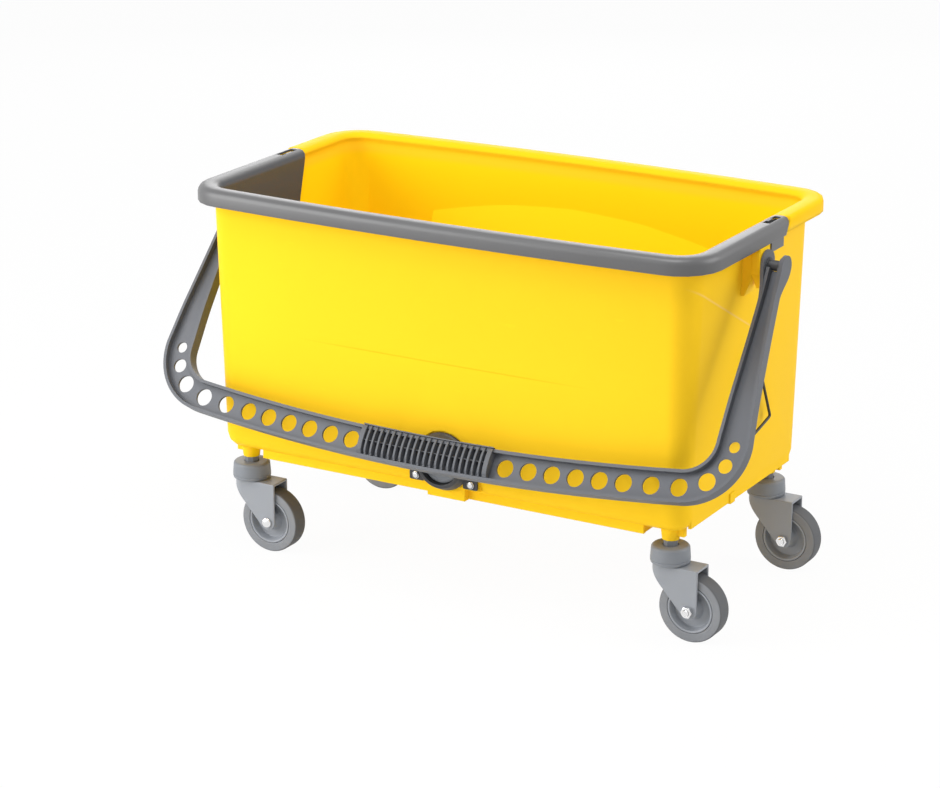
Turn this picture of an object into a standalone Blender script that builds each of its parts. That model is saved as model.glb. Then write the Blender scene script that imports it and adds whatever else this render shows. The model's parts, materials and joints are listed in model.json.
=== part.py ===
"""Mop bucket: a moulded tub on four swivel casters, with a rim cover, bail handle, drain and wire link.

Metres, +Z up. X runs along the tub, -Y is the front with the drain. The floor is z = 0.
"""
import math

import bmesh
import bpy
from mathutils import Matrix, Vector

# Fits shared by pieces that touch or turn in each other
GAP = 0.0003
BORE_GAP = 0.0003

# Tub: sizes are of the outer wall just under the lip
TUB_HALF_LENGTH = 0.2605
TUB_HALF_WIDTH = 0.1315
TUB_CORNER = 0.025
TUB_WALL = 0.0035
TUB_DRAFT = math.radians(1.45)
TUB_BASE_Z = 0.106
TUB_BASE_FILLET = 0.014
SIDE_BOW = 0.0075

# Lip round the top of the tub
RIM_TOP_Z = 0.370
LIP_HEIGHT = 0.0107
LIP_REACH = 0.0142
LIP_THICK = 0.0032
LIP_ROUND = 0.0043
REAR_ROUND = 0.0030
EDGE = 0.0015
FLARE = 0.0020
FLARE_HEIGHT = 0.006
RIM_INNER_ROUND = 0.006

# Arched recess in the rear wall, open at the base
RECESS_HALF_WIDTH = 0.157
RECESS_TOP_Z = 0.322
RECESS_ARCH_RISE = 0.020
RECESS_DEPTH = 0.030
RECESS_SLOPE = math.radians(20.0)

# Rails under the base
RAIL_INSET = 0.008
RAIL_THICK = 0.004
RAIL_DROP = 0.0072
RAIL_RETURN = 0.028
RAIL_END_CLEAR = 0.022
END_RAIL_STEP = 0.0010
END_RAIL_THICK = 0.0030
END_RAIL_HALF = 0.108
END_RAIL_RISE = 0.0025
END_RAIL_TOP = 0.0105
NUB_Y = -0.023
NUB_HALF = 0.005
NUB_DROP = 0.0010
NUB_PROUD = 0.0016

# Casters: stem places, wheel and fork
STEM_HALF_X = TUB_HALF_LENGTH - 0.0288
STEM_HALF_Y = TUB_HALF_WIDTH - 0.0265
CASTER_TRAIL = 0.025
WHEEL_RADIUS = 0.03175
TYRE_WIDTH = 0.018
TYRE_DEPTH = 0.0088
TYRE_SHOULDER = 0.0020
HUB_BOSS_WALL = 0.0024
HUB_RING = 0.0020
HUB_DISH = 0.36
FORK_GAP = 0.0200
FORK_WALL = 0.0025
FORK_TOP_Z = 0.0720
FORK_TIP = 0.0086
FORK_BACK_X = -0.0044
FORK_LEAD_Z = 0.066
STEM_RADIUS = 0.0055
STEM_SLEEVE = 0.0070
STEM_LENGTH_IN_SOCKET = 0.029
STEM_FLANGE = 0.0140
STEM_RIVET = 0.0045
RIVET_HEAD = 0.0075
RIVET_HEAD_HEIGHT = 0.0030
BEARING_HEIGHT = 0.0050
STEM_FLANGE_HEIGHT = 0.0030
COLLAR_RADIUS = 0.0189
COLLAR_TOP_Z = 0.0893
COLLAR_WALL = 0.0028
AXLE_RADIUS = 0.0030
AXLE_HEAD = 0.0053
AXLE_HEAD_HEIGHT = 0.0040
NUT_ACROSS_FLATS = 0.0100
NUT_HEIGHT = 0.0045
SLEEVE_WALL = 0.0009
SOCKET_BOTTOM_Z = 0.0948
SOCKET_FOOT = 0.0082
SOCKET_RADIUS = 0.0098
SOCKET_ROOF = 0.004
FIN_REACH = 0.0050

# Bail handle: a channel bent to a U, hung from two pins on the tub's ends
PIVOT_Y = -0.0180
PIVOT_Z = 0.3410
HANDLE_TILT = math.radians(33.0)
ARM_LEAN = math.radians(3.24)
ARM_HALF_WIDTH = 0.0068
BAR_HALF_WIDTH = 0.0155
BAR_DROP = 0.2344
BAR_RADIUS = 2.262
BAR_HALF_LENGTH = TUB_HALF_LENGTH
CORNER_RADIUS = 0.045
CHANNEL_DEPTH = 0.012
CHANNEL_BACK = -0.0039
CHANNEL_WEB = 0.0025
FLANGE_THICK = 0.0030
EAR_RADIUS = 0.0105
EAR_TAPER = 0.034
PIN_RADIUS = 0.0050
PIN_SHOULDER = 0.0072
PIN_SEAT = 0.0075
EAR_SKIN = 0.0015
EAR_SLOT = 0.0062
BRACKET_REACH = 0.0090
BRACKET_HALF = 0.0100
BRACKET_DROP = 0.0483
BRACKET_NOSE = 0.0323

# Holes along the handle, counted from the grip outwards
FIRST_HOLE = 0.0838
BAR_PITCH = 0.0241
BAR_PITCHES = 5
BEND_PITCH = 0.0272
BEND_PITCHES = 3
END_PITCHES = (0.0218, 0.0190)
HOLE_RADIUS = 0.0086
END_HOLE_RADII = (0.0070, 0.0055)

# Ribbed grip in the middle of the bar
GRIP_HALF_LENGTH = 0.0705
GRIP_RIBS = 22
GRIP_RIB_THICK = 0.0020
GRIP_CROWN = 0.0033
GRIP_PLATE = 0.0018
GRIP_SPINE = 0.0016

# Grey cover over the front rim
COVER_THICK = 0.0019
COVER_DROP = 0.0133
COVER_END_Y = 0.0390
COVER_END_SLOPE = 0.54
LINING_END_SLOPE = 0.30
COVER_SKIRT = 0.070
TAB_START_Y = -0.001
TAB_DROP = 0.0090
SLOT_START_Y = 0.0065
SLOT_LENGTH = 0.0280
SLOT_WIDTH = 0.0075
SLOT_INSET = 0.0060
TONGUE_LENGTH = 0.010
TONGUE_THICK = 0.0020
TONGUE_DROP = 0.0080

# Drain low in the front wall
DRAIN_X = 0.0035
DRAIN_Z = 0.1365
DRAIN_PAD = 0.0002
DRAIN_FOOT_BOTTOM_Z = 0.0982
DRAIN_FOOT_HALF = 0.0205
DRAIN_FOOT_SET_BACK = 0.0030
DRAIN_FLANGE = 0.0285
DRAIN_PLATE = 0.0034
DRAIN_RING_FRONT = 0.0245
DRAIN_RING_HEIGHT = 0.0083
DRAIN_BORE = 0.0168
DRAIN_RECESS = 0.0205
GASKET_RADIUS = 0.024
GASKET_THICK = 0.0012
EAR_SCREW_X = 0.0300
EAR_SCREW_DROP = 0.0185
EAR_STRIP_HALF = 0.0370
EAR_STRIP_HEIGHT = 0.0095
EAR_THICK = 0.0020
PLUG_HEAD = 0.0030
PLUG_LENGTH = 0.0160
PLUG_BAR_LENGTH = 0.032
PLUG_BAR_THICK = 0.006
PLUG_BAR_HEIGHT = 0.0016
SCREW_RADIUS = 0.0019
SCREW_HEAD = 0.0038
SCREW_HEAD_HEIGHT = 0.0017
SCREW_BITE = 0.0055

# Wire link hung on the right end wall
LINK_Z = 0.240
LINK_DROP = 0.064
LINK_SAG = 0.009
LINK_TOP_HALF = 0.009
LINK_BOTTOM_HALF = 0.040
LINK_RADIUS = 0.0015
LINK_BEND = 0.0035
LUG_HALF = 0.005
LUG_REACH = 0.0075
LUG_SIZE = 0.0055

# Facets
CORNER_STEPS = 5
SIDE_STEPS = 6
WALL_STEPS = 2
FILLET_STEPS = 3
ARCH_STEPS = 10
ARC_STEPS = 3
BEND_STEPS = 8
BAR_STEPS = 4
WHEEL_STEPS = 24
ROUND_STEPS = 16
SMALL_STEPS = 12
HOLE_STEPS = 10
COLLAR_STEPS = 14
PIN_STEPS = 8
BOLT_STEPS = 8

LIP_LOW_Z = RIM_TOP_Z - LIP_HEIGHT
FLOOR_Z = TUB_BASE_Z + TUB_WALL
COVER_TOP_Z = RIM_TOP_Z + GAP + COVER_THICK
COVER_LOW_Z = RIM_TOP_Z - COVER_DROP
COVER_REACH = LIP_REACH + GAP + COVER_THICK
AXLE_Z = WHEEL_RADIUS
FORK_HALF = FORK_GAP / 2 + FORK_WALL
FORK_TAIL_X = CASTER_TRAIL + FORK_TIP
EAR_PLANE = Matrix(((0, 0, 1, 0), (1, 0, 0, 0), (0, 1, 0, 0), (0, 0, 0, 1)))


def start_scene():
    """Clear the scene and add one collection for the parts and one for the cutters."""
    for old in list(bpy.data.objects):
        bpy.data.objects.remove(old, do_unlink=True)
    made = []
    for name in ("mop_bucket", "cutters"):
        group = bpy.data.collections.new(name)
        bpy.context.scene.collection.children.link(group)
        made.append(group)
    return made


PARTS, CUTTERS = start_scene()


def finish(name, color, roughness, metallic=0.0):
    """Principled material with a colour, a roughness and a metallic value."""
    material = bpy.data.materials.new(name)
    material.use_nodes = True
    shader = material.node_tree.nodes["Principled BSDF"]
    shader.inputs["Base Color"].default_value = (*color, 1.0)
    shader.inputs["Roughness"].default_value = roughness
    shader.inputs["Metallic"].default_value = metallic
    return material


YELLOW = finish("yellow_plastic", (0.93, 0.65, 0.004), 0.38)
COVER_GREY = finish("cover_grey_plastic", (0.19, 0.19, 0.195), 0.50)
HANDLE_GREY = finish("handle_grey_plastic", (0.21, 0.21, 0.22), 0.45)
CASTER_GREY = finish("caster_grey_plastic", (0.25, 0.25, 0.25), 0.45)
TYRE_GREY = finish("tyre_grey_rubber", (0.20, 0.20, 0.20), 0.70)
STEEL = finish("bright_steel", (0.75, 0.75, 0.75), 0.25, 1.0)
BLACK_RUBBER = finish("black_rubber", (0.02, 0.02, 0.02), 0.80)
BLACK_WIRE = finish("black_coated_wire", (0.015, 0.015, 0.015), 0.45)


def add_mesh(name, bm, material=None):
    """Link a bmesh as a part, or as a cutter when it has no material."""
    bmesh.ops.recalc_face_normals(bm, faces=bm.faces)
    mesh = bpy.data.meshes.new(name)
    bm.to_mesh(mesh)
    bm.free()
    return add_object(name, mesh, material)


def add_object(name, mesh, material=None):
    """Make an object for a mesh and put it with the parts or the cutters."""
    obj = bpy.data.objects.new(name, mesh)
    if material is None:
        CUTTERS.objects.link(obj)
        obj.hide_render = True
        obj.display_type = "WIRE"
    else:
        PARTS.objects.link(obj)
        if not mesh.materials:
            mesh.materials.append(material)
    return obj


def loft(name, rings, material=None):
    """Skin closed rings of equal point counts and close both ends."""
    bm = bmesh.new()
    loops = [[bm.verts.new(point) for point in ring] for ring in rings]
    count = len(loops[0])
    for lower, upper in zip(loops, loops[1:]):
        for i in range(count):
            j = (i + 1) % count
            bm.faces.new((lower[i], lower[j], upper[j], upper[i]))
    bm.faces.new(list(reversed(loops[0])))
    bm.faces.new(loops[-1])
    return add_mesh(name, bm, material)


def block(name, low, high, material=None):
    """Box between two corners."""
    bm = bmesh.new()
    size = Vector(high) - Vector(low)
    centre = (Vector(high) + Vector(low)) / 2
    bmesh.ops.create_cube(bm, size=1.0, matrix=Matrix.Translation(centre) @ Matrix.Diagonal((*size, 1.0)))
    return add_mesh(name, bm, material)


def rod(name, start, end, radius, end_radius=None, steps=SMALL_STEPS, material=None):
    """Cylinder or cone between two points."""
    bm = bmesh.new()
    start, end = Vector(start), Vector(end)
    turn = (end - start).to_track_quat("Z", "Y").to_matrix().to_4x4()
    bmesh.ops.create_cone(bm, cap_ends=True, segments=steps, radius1=radius,
                          radius2=radius if end_radius is None else end_radius, depth=(end - start).length,
                          matrix=Matrix.Translation((start + end) / 2) @ turn)
    return add_mesh(name, bm, material)


def hole(name, start, end, radius, steps=SMALL_STEPS):
    """Cutter for a round hole whose flats still clear a shaft of the given radius by the bore gap."""
    return rod(name, start, end, (radius + BORE_GAP) / math.cos(math.pi / steps), steps=steps)


def round_clear(radius):
    """Corner radius of a round hole whose flats lie at the given radius."""
    return radius / math.cos(math.pi / ROUND_STEPS)


def turned(name, profile, material=None, steps=WHEEL_STEPS, ring=False):
    """Turn a profile of (radius, height) points, listed down its outer side, about Z."""
    edges = [(i, i + 1) for i in range(len(profile) - 1)]
    if ring:
        edges.append((len(profile) - 1, 0))
    mesh = bpy.data.meshes.new(name)
    mesh.from_pydata([(radius, 0, height) for radius, height in profile], edges, [])
    obj = add_object(name, mesh, material)
    screw = obj.modifiers.new("turn", "SCREW")
    screw.axis = "Z"
    screw.steps = steps
    screw.render_steps = steps
    screw.use_merge_vertices = True
    screw.merge_threshold = 0.00001
    screw.use_smooth_shade = True
    return obj


def plate(name, outline, thickness, matrix, material=None):
    """Flat outline with a thickness, drawn as a filled 2D curve and made a mesh."""
    curve = bpy.data.curves.new(name, "CURVE")
    curve.dimensions = "2D"
    curve.fill_mode = "BOTH"
    curve.extrude = thickness / 2
    spline = curve.splines.new("POLY")
    spline.points.add(len(outline) - 1)
    for point, (x, y) in zip(spline.points, outline):
        point.co = (x, y, 0, 1)
    spline.use_cyclic_u = True
    return curve_to_mesh(name, curve, matrix, material)


def curve_to_mesh(name, curve, matrix, material=None):
    """Turn a curve into a closed mesh object at the given place."""
    source = bpy.data.objects.new(name + "_curve", curve)
    PARTS.objects.link(source)
    graph = bpy.context.evaluated_depsgraph_get()
    mesh = bpy.data.meshes.new_from_object(source.evaluated_get(graph))
    bm = bmesh.new()
    bm.from_mesh(mesh)
    bmesh.ops.remove_doubles(bm, verts=bm.verts, dist=0.000005)
    bmesh.ops.transform(bm, matrix=matrix, verts=bm.verts)
    bpy.data.objects.remove(source, do_unlink=True)
    bpy.data.curves.remove(curve)
    bpy.data.meshes.remove(mesh)
    return add_mesh(name, bm, material)


def joined(name, pieces):
    """One cutter made of several separate closed cutters."""
    bm = bmesh.new()
    for piece in pieces:
        bm.from_mesh(piece.data)
        bpy.data.objects.remove(piece, do_unlink=True)
    return add_mesh(name, bm)


def combine(target, operation, *tools):
    """Boolean each tool into the target."""
    for tool in tools:
        modifier = target.modifiers.new(tool.name, "BOOLEAN")
        modifier.operation = operation
        modifier.solver = "EXACT"
        modifier.object = tool


def baked(obj):
    """Evaluate an object's modifiers into a mesh of its own and remove the object."""
    bpy.context.view_layer.update()
    graph = bpy.context.evaluated_depsgraph_get()
    mesh = bpy.data.meshes.new_from_object(obj.evaluated_get(graph))
    mesh.name = obj.name
    bpy.data.objects.remove(obj, do_unlink=True)
    return mesh


def soften(obj, angle=math.radians(32)):
    """Shade smooth, with edges sharper than the angle kept crisp."""
    obj.data.shade_smooth()
    obj.data.set_sharp_from_angle(angle=angle)


def arc(centre, radius, start, end, steps=ARC_STEPS):
    """Points on an arc in a plane, angles in degrees."""
    angles = [math.radians(start + (end - start) * i / steps) for i in range(steps + 1)]
    return [(centre[0] + radius * math.cos(a), centre[1] + radius * math.sin(a)) for a in angles]


def wall(z):
    """Offset of the outer wall at a height, from the draft."""
    return -(LIP_LOW_Z - z) * math.tan(TUB_DRAFT)


def bow(z):
    """How far the middle of a long side bows out at a height: none at the base."""
    share = (z - TUB_BASE_Z) / (RIM_TOP_Z - TUB_BASE_Z)
    return SIDE_BOW * max(share, 0.0)


def crown(x):
    """Share of the bow at a place along a long side."""
    return max(0.0, 1.0 - (x / (TUB_HALF_LENGTH - TUB_CORNER)) ** 2)


def side_y(x, z, offset=0.0):
    """Distance of the long side from the middle, at a place and height."""
    return TUB_HALF_WIDTH + wall(z) + offset + bow(z) * crown(x)


def end_x(z):
    """Distance of the end wall from the middle at a height."""
    return TUB_HALF_LENGTH + wall(z)


def corner_points(offset, sign_x, sign_y, start):
    """Plan points round one corner of the tub, moved out by an offset."""
    radius = max(TUB_CORNER + offset, TUB_WALL)
    centre = (sign_x * (TUB_HALF_LENGTH + offset - radius), sign_y * (TUB_HALF_WIDTH + offset - radius))
    return arc(centre, radius, start, start + 90, CORNER_STEPS)


def side_points(sign):
    """Places along a long side between its corners, from +X to -X at the rear, back at the front."""
    reach = sign * (TUB_HALF_LENGTH - TUB_CORNER)
    return [reach * (1 - 2 * i / SIDE_STEPS) for i in range(1, SIDE_STEPS)]


def lifted(points, z):
    """Plan points raised to a height, with the long sides bowed."""
    return [Vector((x, y + math.copysign(bow(z) * crown(x), y), z)) for x, y in points]


def tub_ring(offset, z):
    """Plan outline of the tub at a height, moved out by an offset."""
    half_width = TUB_HALF_WIDTH + offset
    points = corner_points(offset, 1, 1, 0)
    points += [(x, half_width) for x in side_points(1)]
    points += corner_points(offset, -1, 1, 90)
    points += corner_points(offset, -1, -1, 180)
    points += [(x, -half_width) for x in side_points(-1)]
    points += corner_points(offset, 1, -1, 270)
    return lifted(points, z)


def levels(start, end):
    """Heights from just past a start to an end, in even steps."""
    return [start + (end - start) * i / WALL_STEPS for i in range(1, WALL_STEPS + 1)]


def lip_centre():
    """Centre of the lip's outer round, shared by the lip and the cover over it."""
    return LIP_REACH - LIP_ROUND, RIM_TOP_Z - LIP_ROUND


def inner_centre():
    """Centre of the round at the inner edge of the rim."""
    inside = wall(RIM_TOP_Z - RIM_INNER_ROUND) - TUB_WALL
    return inside + RIM_INNER_ROUND, RIM_TOP_Z - RIM_INNER_ROUND


def tub_profile():
    """Section of the tub wall as (offset, height): up the outside, over the lip, down the inside."""
    low = wall(TUB_BASE_Z + TUB_BASE_FILLET)
    inner_fillet = TUB_BASE_FILLET - TUB_WALL / 2
    under = RIM_TOP_Z - LIP_THICK
    floor = wall(FLOOR_Z + inner_fillet) - TUB_WALL
    flare_z = LIP_LOW_Z - FLARE_HEIGHT
    seam_z = COVER_TOP_Z - COVER_SKIRT
    points = arc((low - TUB_BASE_FILLET, TUB_BASE_Z + TUB_BASE_FILLET), TUB_BASE_FILLET, -90, 0, FILLET_STEPS)
    points += [(wall(z), z) for z in levels(TUB_BASE_Z + TUB_BASE_FILLET, flare_z)]
    points += [(wall(LIP_LOW_Z) + FLARE, LIP_LOW_Z), (wall(under) + FLARE, under)]
    points += [(LIP_REACH - LIP_THICK, under), (LIP_REACH - LIP_THICK, LIP_LOW_Z), (LIP_REACH, LIP_LOW_Z)]
    points += arc(lip_centre(), LIP_ROUND, 0, 90)
    points += arc(inner_centre(), RIM_INNER_ROUND, 90, 180)
    points += [(wall(z) - TUB_WALL, z) for z in [seam_z] + levels(seam_z, FLOOR_Z + inner_fillet)[:-1]]
    points += arc((floor - inner_fillet, FLOOR_Z + inner_fillet), inner_fillet, 0, -90, FILLET_STEPS)
    return points


def recess_section(x, thickness):
    """Section of the rear recess at a place along the tub: its sloped roof and back, and open air outside."""
    edge_z = RECESS_TOP_Z - RECESS_ARCH_RISE * (x / RECESS_HALF_WIDTH) ** 2
    slope = math.tan(RECESS_SLOPE)
    face = side_y(x, edge_z) - thickness / math.cos(RECESS_SLOPE)
    back_z = edge_z - RECESS_DEPTH / slope
    return face, edge_z, slope, back_z


def rear_recess():
    """Cutter for the recess outside the rear wall."""
    rings = []
    outside = TUB_HALF_WIDTH + LIP_REACH + SIDE_BOW
    lead = TUB_WALL
    for i in range(ARCH_STEPS + 1):
        x = RECESS_HALF_WIDTH * (2 * i / ARCH_STEPS - 1)
        face, edge_z, slope, back_z = recess_section(x, 0.0)
        foot = face - RECESS_DEPTH + wall(TUB_BASE_Z) - wall(back_z)
        low = TUB_BASE_Z - 2 * RAIL_DROP
        section = [(face + lead, edge_z + lead / slope), (face - RECESS_DEPTH, back_z), (foot, low)]
        section += [(outside, low), (outside, edge_z + lead / slope)]
        rings.append([(x, y, z) for y, z in section])
    return loft("rear_recess_cutter", rings)


def rear_bulge():
    """Solid inside the rear wall that keeps the wall's thickness behind the recess."""
    rings = []
    half = RECESS_HALF_WIDTH + TUB_WALL
    skin = TUB_WALL / 3
    for i in range(ARCH_STEPS + 1):
        x = half * (2 * i / ARCH_STEPS - 1)
        face, edge_z, slope, back_z = recess_section(x, TUB_WALL)
        foot = face - RECESS_DEPTH + wall(TUB_BASE_Z) - wall(back_z)
        low = TUB_BASE_Z + TUB_WALL / 2
        rise = (side_y(x, edge_z) - skin - face) / slope
        top_z = edge_z + rise
        section = [(side_y(x, top_z) - skin, top_z), (face - RECESS_DEPTH, back_z), (foot, low)]
        section += [(side_y(x, low) - TUB_BASE_FILLET, low), (side_y(x, back_z) - skin, back_z)]
        rings.append([(x, y, z) for y, z in section])
    return loft("rear_bulge", rings)


def base_rails():
    """Rails under the front and rear of the base with a return at both ends, and end rails with a nub each."""
    low, high = TUB_BASE_Z - RAIL_DROP, TUB_BASE_Z + TUB_WALL / 2
    rail_y = TUB_HALF_WIDTH + wall(TUB_BASE_Z) - RAIL_INSET
    half = STEM_HALF_X - RAIL_END_CLEAR
    rails = []
    for sign, word in ((-1, "front"), (1, "rear")):
        near, far = sorted((sign * rail_y, sign * (rail_y - RAIL_THICK)))
        rails.append(block(word + "_rail", (-half, near, low), (half, far, high)))
        near, far = sorted((sign * (rail_y - GAP), sign * (rail_y - RAIL_RETURN)))
        for side in (-1, 1):
            inner, outer = sorted((side * (half - RAIL_THICK), side * (half - GAP)))
            rails.append(block(word + "_rail_return", (inner, near, low + GAP), (outer, far, high - GAP)))
    face = end_x(TUB_BASE_Z + TUB_BASE_FILLET) - END_RAIL_STEP
    low, high = TUB_BASE_Z + END_RAIL_RISE, TUB_BASE_Z + END_RAIL_TOP
    for sign, word in ((-1, "left"), (1, "right")):
        inner, outer = sorted((sign * (face - END_RAIL_THICK), sign * face))
        rails.append(block(word + "_end_rail", (inner, -END_RAIL_HALF, low), (outer, END_RAIL_HALF, high)))
        inner, outer = sorted((sign * (face - END_RAIL_THICK / 2), sign * (face + NUB_PROUD)))
        rails.append(block(word + "_nub", (inner, NUB_Y - NUB_HALF, low - NUB_DROP),
                           (outer, NUB_Y + NUB_HALF, high + NUB_DROP)))
    return rails


def stem_places():
    """Names and places of the four caster stems."""
    return [(f"{depth}_{side}", sx * STEM_HALF_X, sy * STEM_HALF_Y)
            for sy, depth in ((-1, "front"), (1, "rear")) for sx, side in ((-1, "left"), (1, "right"))]


def caster_sockets():
    """Socket towers for the caster stems, with two gusset fins each, and their bores."""
    solids, bores = [], []
    bore_top = SOCKET_BOTTOM_Z + STEM_LENGTH_IN_SOCKET + GAP
    top = bore_top + SOCKET_ROOF
    fin_low = TUB_BASE_Z - RAIL_DROP
    fin_reach = SOCKET_RADIUS + 2 * RAIL_DROP
    end_fin_reach = SOCKET_RADIUS + FIN_REACH
    floor = TUB_BASE_Z + TUB_WALL / 2
    for name, x, y in stem_places():
        solids.append(rod(name + "_socket_foot", (x, y, SOCKET_BOTTOM_Z), (x, y, floor), SOCKET_FOOT, SOCKET_RADIUS))
        solids.append(rod(name + "_socket_tower", (x, y, floor), (x, y, top), SOCKET_RADIUS))
        low_y, high_y = sorted((y, y - math.copysign(fin_reach, y)))
        half = RAIL_THICK / 3
        solids.append(block(name + "_fin", (x - half, low_y, fin_low), (x + half, high_y, floor)))
        low_x, high_x = sorted((x, x + math.copysign(end_fin_reach, x)))
        solids.append(block(name + "_end_fin", (low_x, y - 2 * half, fin_low + GAP), (high_x, y + 2 * half, floor)))
        bores.append(hole(name + "_bore", (x, y, SOCKET_BOTTOM_Z - TUB_WALL), (x, y, bore_top), STEM_RADIUS, PIN_STEPS))
    return solids, joined("socket_bores", bores)


def pin_seat_x():
    """Outer face of the pivot bracket."""
    return TUB_HALF_LENGTH + BRACKET_REACH


def pivot_brackets():
    """Brackets under the lip at both ends, and the blind bores for the handle's pins."""
    solids, bores = [], []
    face = pin_seat_x()
    root_low = LIP_LOW_Z - BRACKET_DROP
    top = RIM_TOP_Z - LIP_THICK / 2
    inner = end_x(root_low) - TUB_WALL / 2
    outline = [(inner, root_low), (end_x(root_low) + TUB_WALL, root_low), (face, LIP_LOW_Z - BRACKET_NOSE),
               (face, top), (TUB_HALF_LENGTH, top), (inner, LIP_LOW_Z)]
    for sign, word in ((-1, "left"), (1, "right")):
        side = [(sign * x, z) for x, z in outline]
        place = Matrix.Translation((0, PIVOT_Y, 0)) @ Matrix.Rotation(math.radians(90), 4, "X")
        solids.append(plate(word + "_bracket", side, 2 * BRACKET_HALF, place))
        bores.append(hole(word + "_pin_bore", (sign * (face - PIN_SEAT - GAP), PIVOT_Y, PIVOT_Z),
                          (sign * (face + PIN_SEAT), PIVOT_Y, PIVOT_Z), PIN_RADIUS))
    return solids, joined("pin_bores", bores)


def drain_face():
    """Front face of the drain pad, as a distance forwards."""
    return side_y(0, DRAIN_Z) + DRAIN_PAD


def drain_seat():
    """Cutter that takes the wall back to a flat seat where it stands proud of the drain's face."""
    deep = drain_face() - GAP
    out = drain_face() + 4 * TUB_WALL
    return rod("drain_seat", (DRAIN_X, -deep, DRAIN_Z), (DRAIN_X, -out, DRAIN_Z), DRAIN_FLANGE + EDGE,
               steps=ROUND_STEPS)


def drain_pad():
    """Flat pad for the drain, with a strip for its ears and a foot down to the rail."""
    inside = side_y(0, DRAIN_Z) - TUB_WALL / 2
    front = drain_face()
    disc = rod("drain_pad", (DRAIN_X, -inside, DRAIN_Z), (DRAIN_X, -front, DRAIN_Z), DRAIN_FLANGE + EDGE + 2 * GAP,
               steps=ROUND_STEPS)
    strip_z = DRAIN_Z - EAR_SCREW_DROP
    reach = EAR_STRIP_HALF + EDGE
    strip = block("drain_pad_strip", (DRAIN_X - reach, -front, strip_z - EAR_STRIP_HEIGHT / 2 - EDGE),
                  (DRAIN_X + reach, -inside, strip_z + EAR_STRIP_HEIGHT / 2 + EDGE))
    foot = block("drain_foot", (DRAIN_X - DRAIN_FOOT_HALF, -front + DRAIN_FOOT_SET_BACK, DRAIN_FOOT_BOTTOM_Z),
                 (DRAIN_X + DRAIN_FOOT_HALF, -side_y(0, TUB_BASE_Z) + RAIL_INSET + RAIL_THICK, strip_z))
    return [disc, strip, foot]


def drain_holes():
    """Hole for the plug and pilots for the two screws."""
    front = drain_face()
    back = side_y(0, DRAIN_Z) - 4 * TUB_WALL
    bite = front - SCREW_BITE - GAP
    holes = [rod("plug_hole", (DRAIN_X, -back, DRAIN_Z), (DRAIN_X, -front - TUB_WALL, DRAIN_Z), round_clear(DRAIN_BORE),
                 steps=ROUND_STEPS)]
    for sign in (-1, 1):
        place = (DRAIN_X + sign * EAR_SCREW_X, DRAIN_Z - EAR_SCREW_DROP)
        holes.append(hole("screw_pilot", (place[0], -bite, place[1]), (place[0], -front - TUB_WALL, place[1]),
                          SCREW_RADIUS, BOLT_STEPS))
    return joined("drain_holes", holes)


def link_axis_x():
    """Place of the wire link's hinge out from the middle."""
    return end_x(LINK_Z) + LUG_REACH - LUG_SIZE / 2


def link_lug():
    """Lug on the right end wall and the hole that carries the wire link."""
    x = link_axis_x()
    lug = block("link_lug", (end_x(LINK_Z) - TUB_WALL / 2, -LUG_HALF, LINK_Z - LUG_SIZE),
                (end_x(LINK_Z) + LUG_REACH, LUG_HALF, LINK_Z + LUG_SIZE))
    eye = hole("link_hole", (x, -2 * LUG_HALF, LINK_Z), (x, 2 * LUG_HALF, LINK_Z), LINK_RADIUS, BOLT_STEPS)
    return lug, eye


def rim_slots():
    """Snap slots through the top of the lip on both ends, under the cover's slots."""
    slots = []
    for sign in (-1, 1):
        near, far = sorted((sign * (TUB_HALF_LENGTH + SLOT_INSET - SLOT_WIDTH / 2),
                            sign * (TUB_HALF_LENGTH + SLOT_INSET + SLOT_WIDTH / 2)))
        slots.append(block("rim_slot", (near, SLOT_START_Y, RIM_TOP_Z - 2 * LIP_THICK),
                           (far, SLOT_START_Y + SLOT_LENGTH, RIM_TOP_Z + LIP_THICK)))
    return joined("rim_slots", slots)


def make_tub():
    """The moulded tub: shell, rear bulge, rails, sockets, brackets and drain pad in one piece."""
    tub = loft("tub", [tub_ring(offset, z) for offset, z in tub_profile()], YELLOW)
    towers, socket_bores = caster_sockets()
    brackets, pin_bores = pivot_brackets()
    lug, lug_hole = link_lug()
    combine(tub, "DIFFERENCE", drain_seat())
    combine(tub, "UNION", rear_bulge(), *base_rails(), *towers, *brackets, *drain_pad(), lug, rear_rim())
    combine(tub, "DIFFERENCE", rear_recess(), socket_bores, pin_bores, drain_holes(), lug_hole, rim_slots())
    soften(tub)
    return tub


def rim_plan(offset, sign, end_y):
    """Plan points along a U of the rim, from the right end round the front or the rear to the left end."""
    if sign < 0:
        first = list(reversed(corner_points(offset, 1, -1, 270)))
        last = list(reversed(corner_points(offset, -1, -1, 180)))
        places = list(reversed(side_points(-1)))
    else:
        first, last, places = corner_points(offset, 1, 1, 0), corner_points(offset, -1, 1, 90), side_points(1)
    right = TUB_HALF_LENGTH + offset
    points = [(right, end_y), (right, end_y + sign * 2 * TUB_CORNER)] + first
    points += [(x, sign * (TUB_HALF_WIDTH + offset)) for x in places]
    return points + last + [(-right, end_y + sign * 2 * TUB_CORNER), (-right, end_y)]


def rim_skin(reach, outer=LIP_ROUND + GAP + COVER_THICK, low=COVER_LOW_Z):
    """Outer section of the covered rim as (offset, height), moved in by a depth from its finished surface."""
    inner = RIM_INNER_ROUND + GAP + COVER_THICK - reach
    points = [(COVER_REACH - reach, low)]
    points += arc((COVER_REACH - outer, COVER_TOP_Z - outer), outer - reach, 0, 90)
    return points + arc(inner_centre(), inner, 90, 180)


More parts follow.
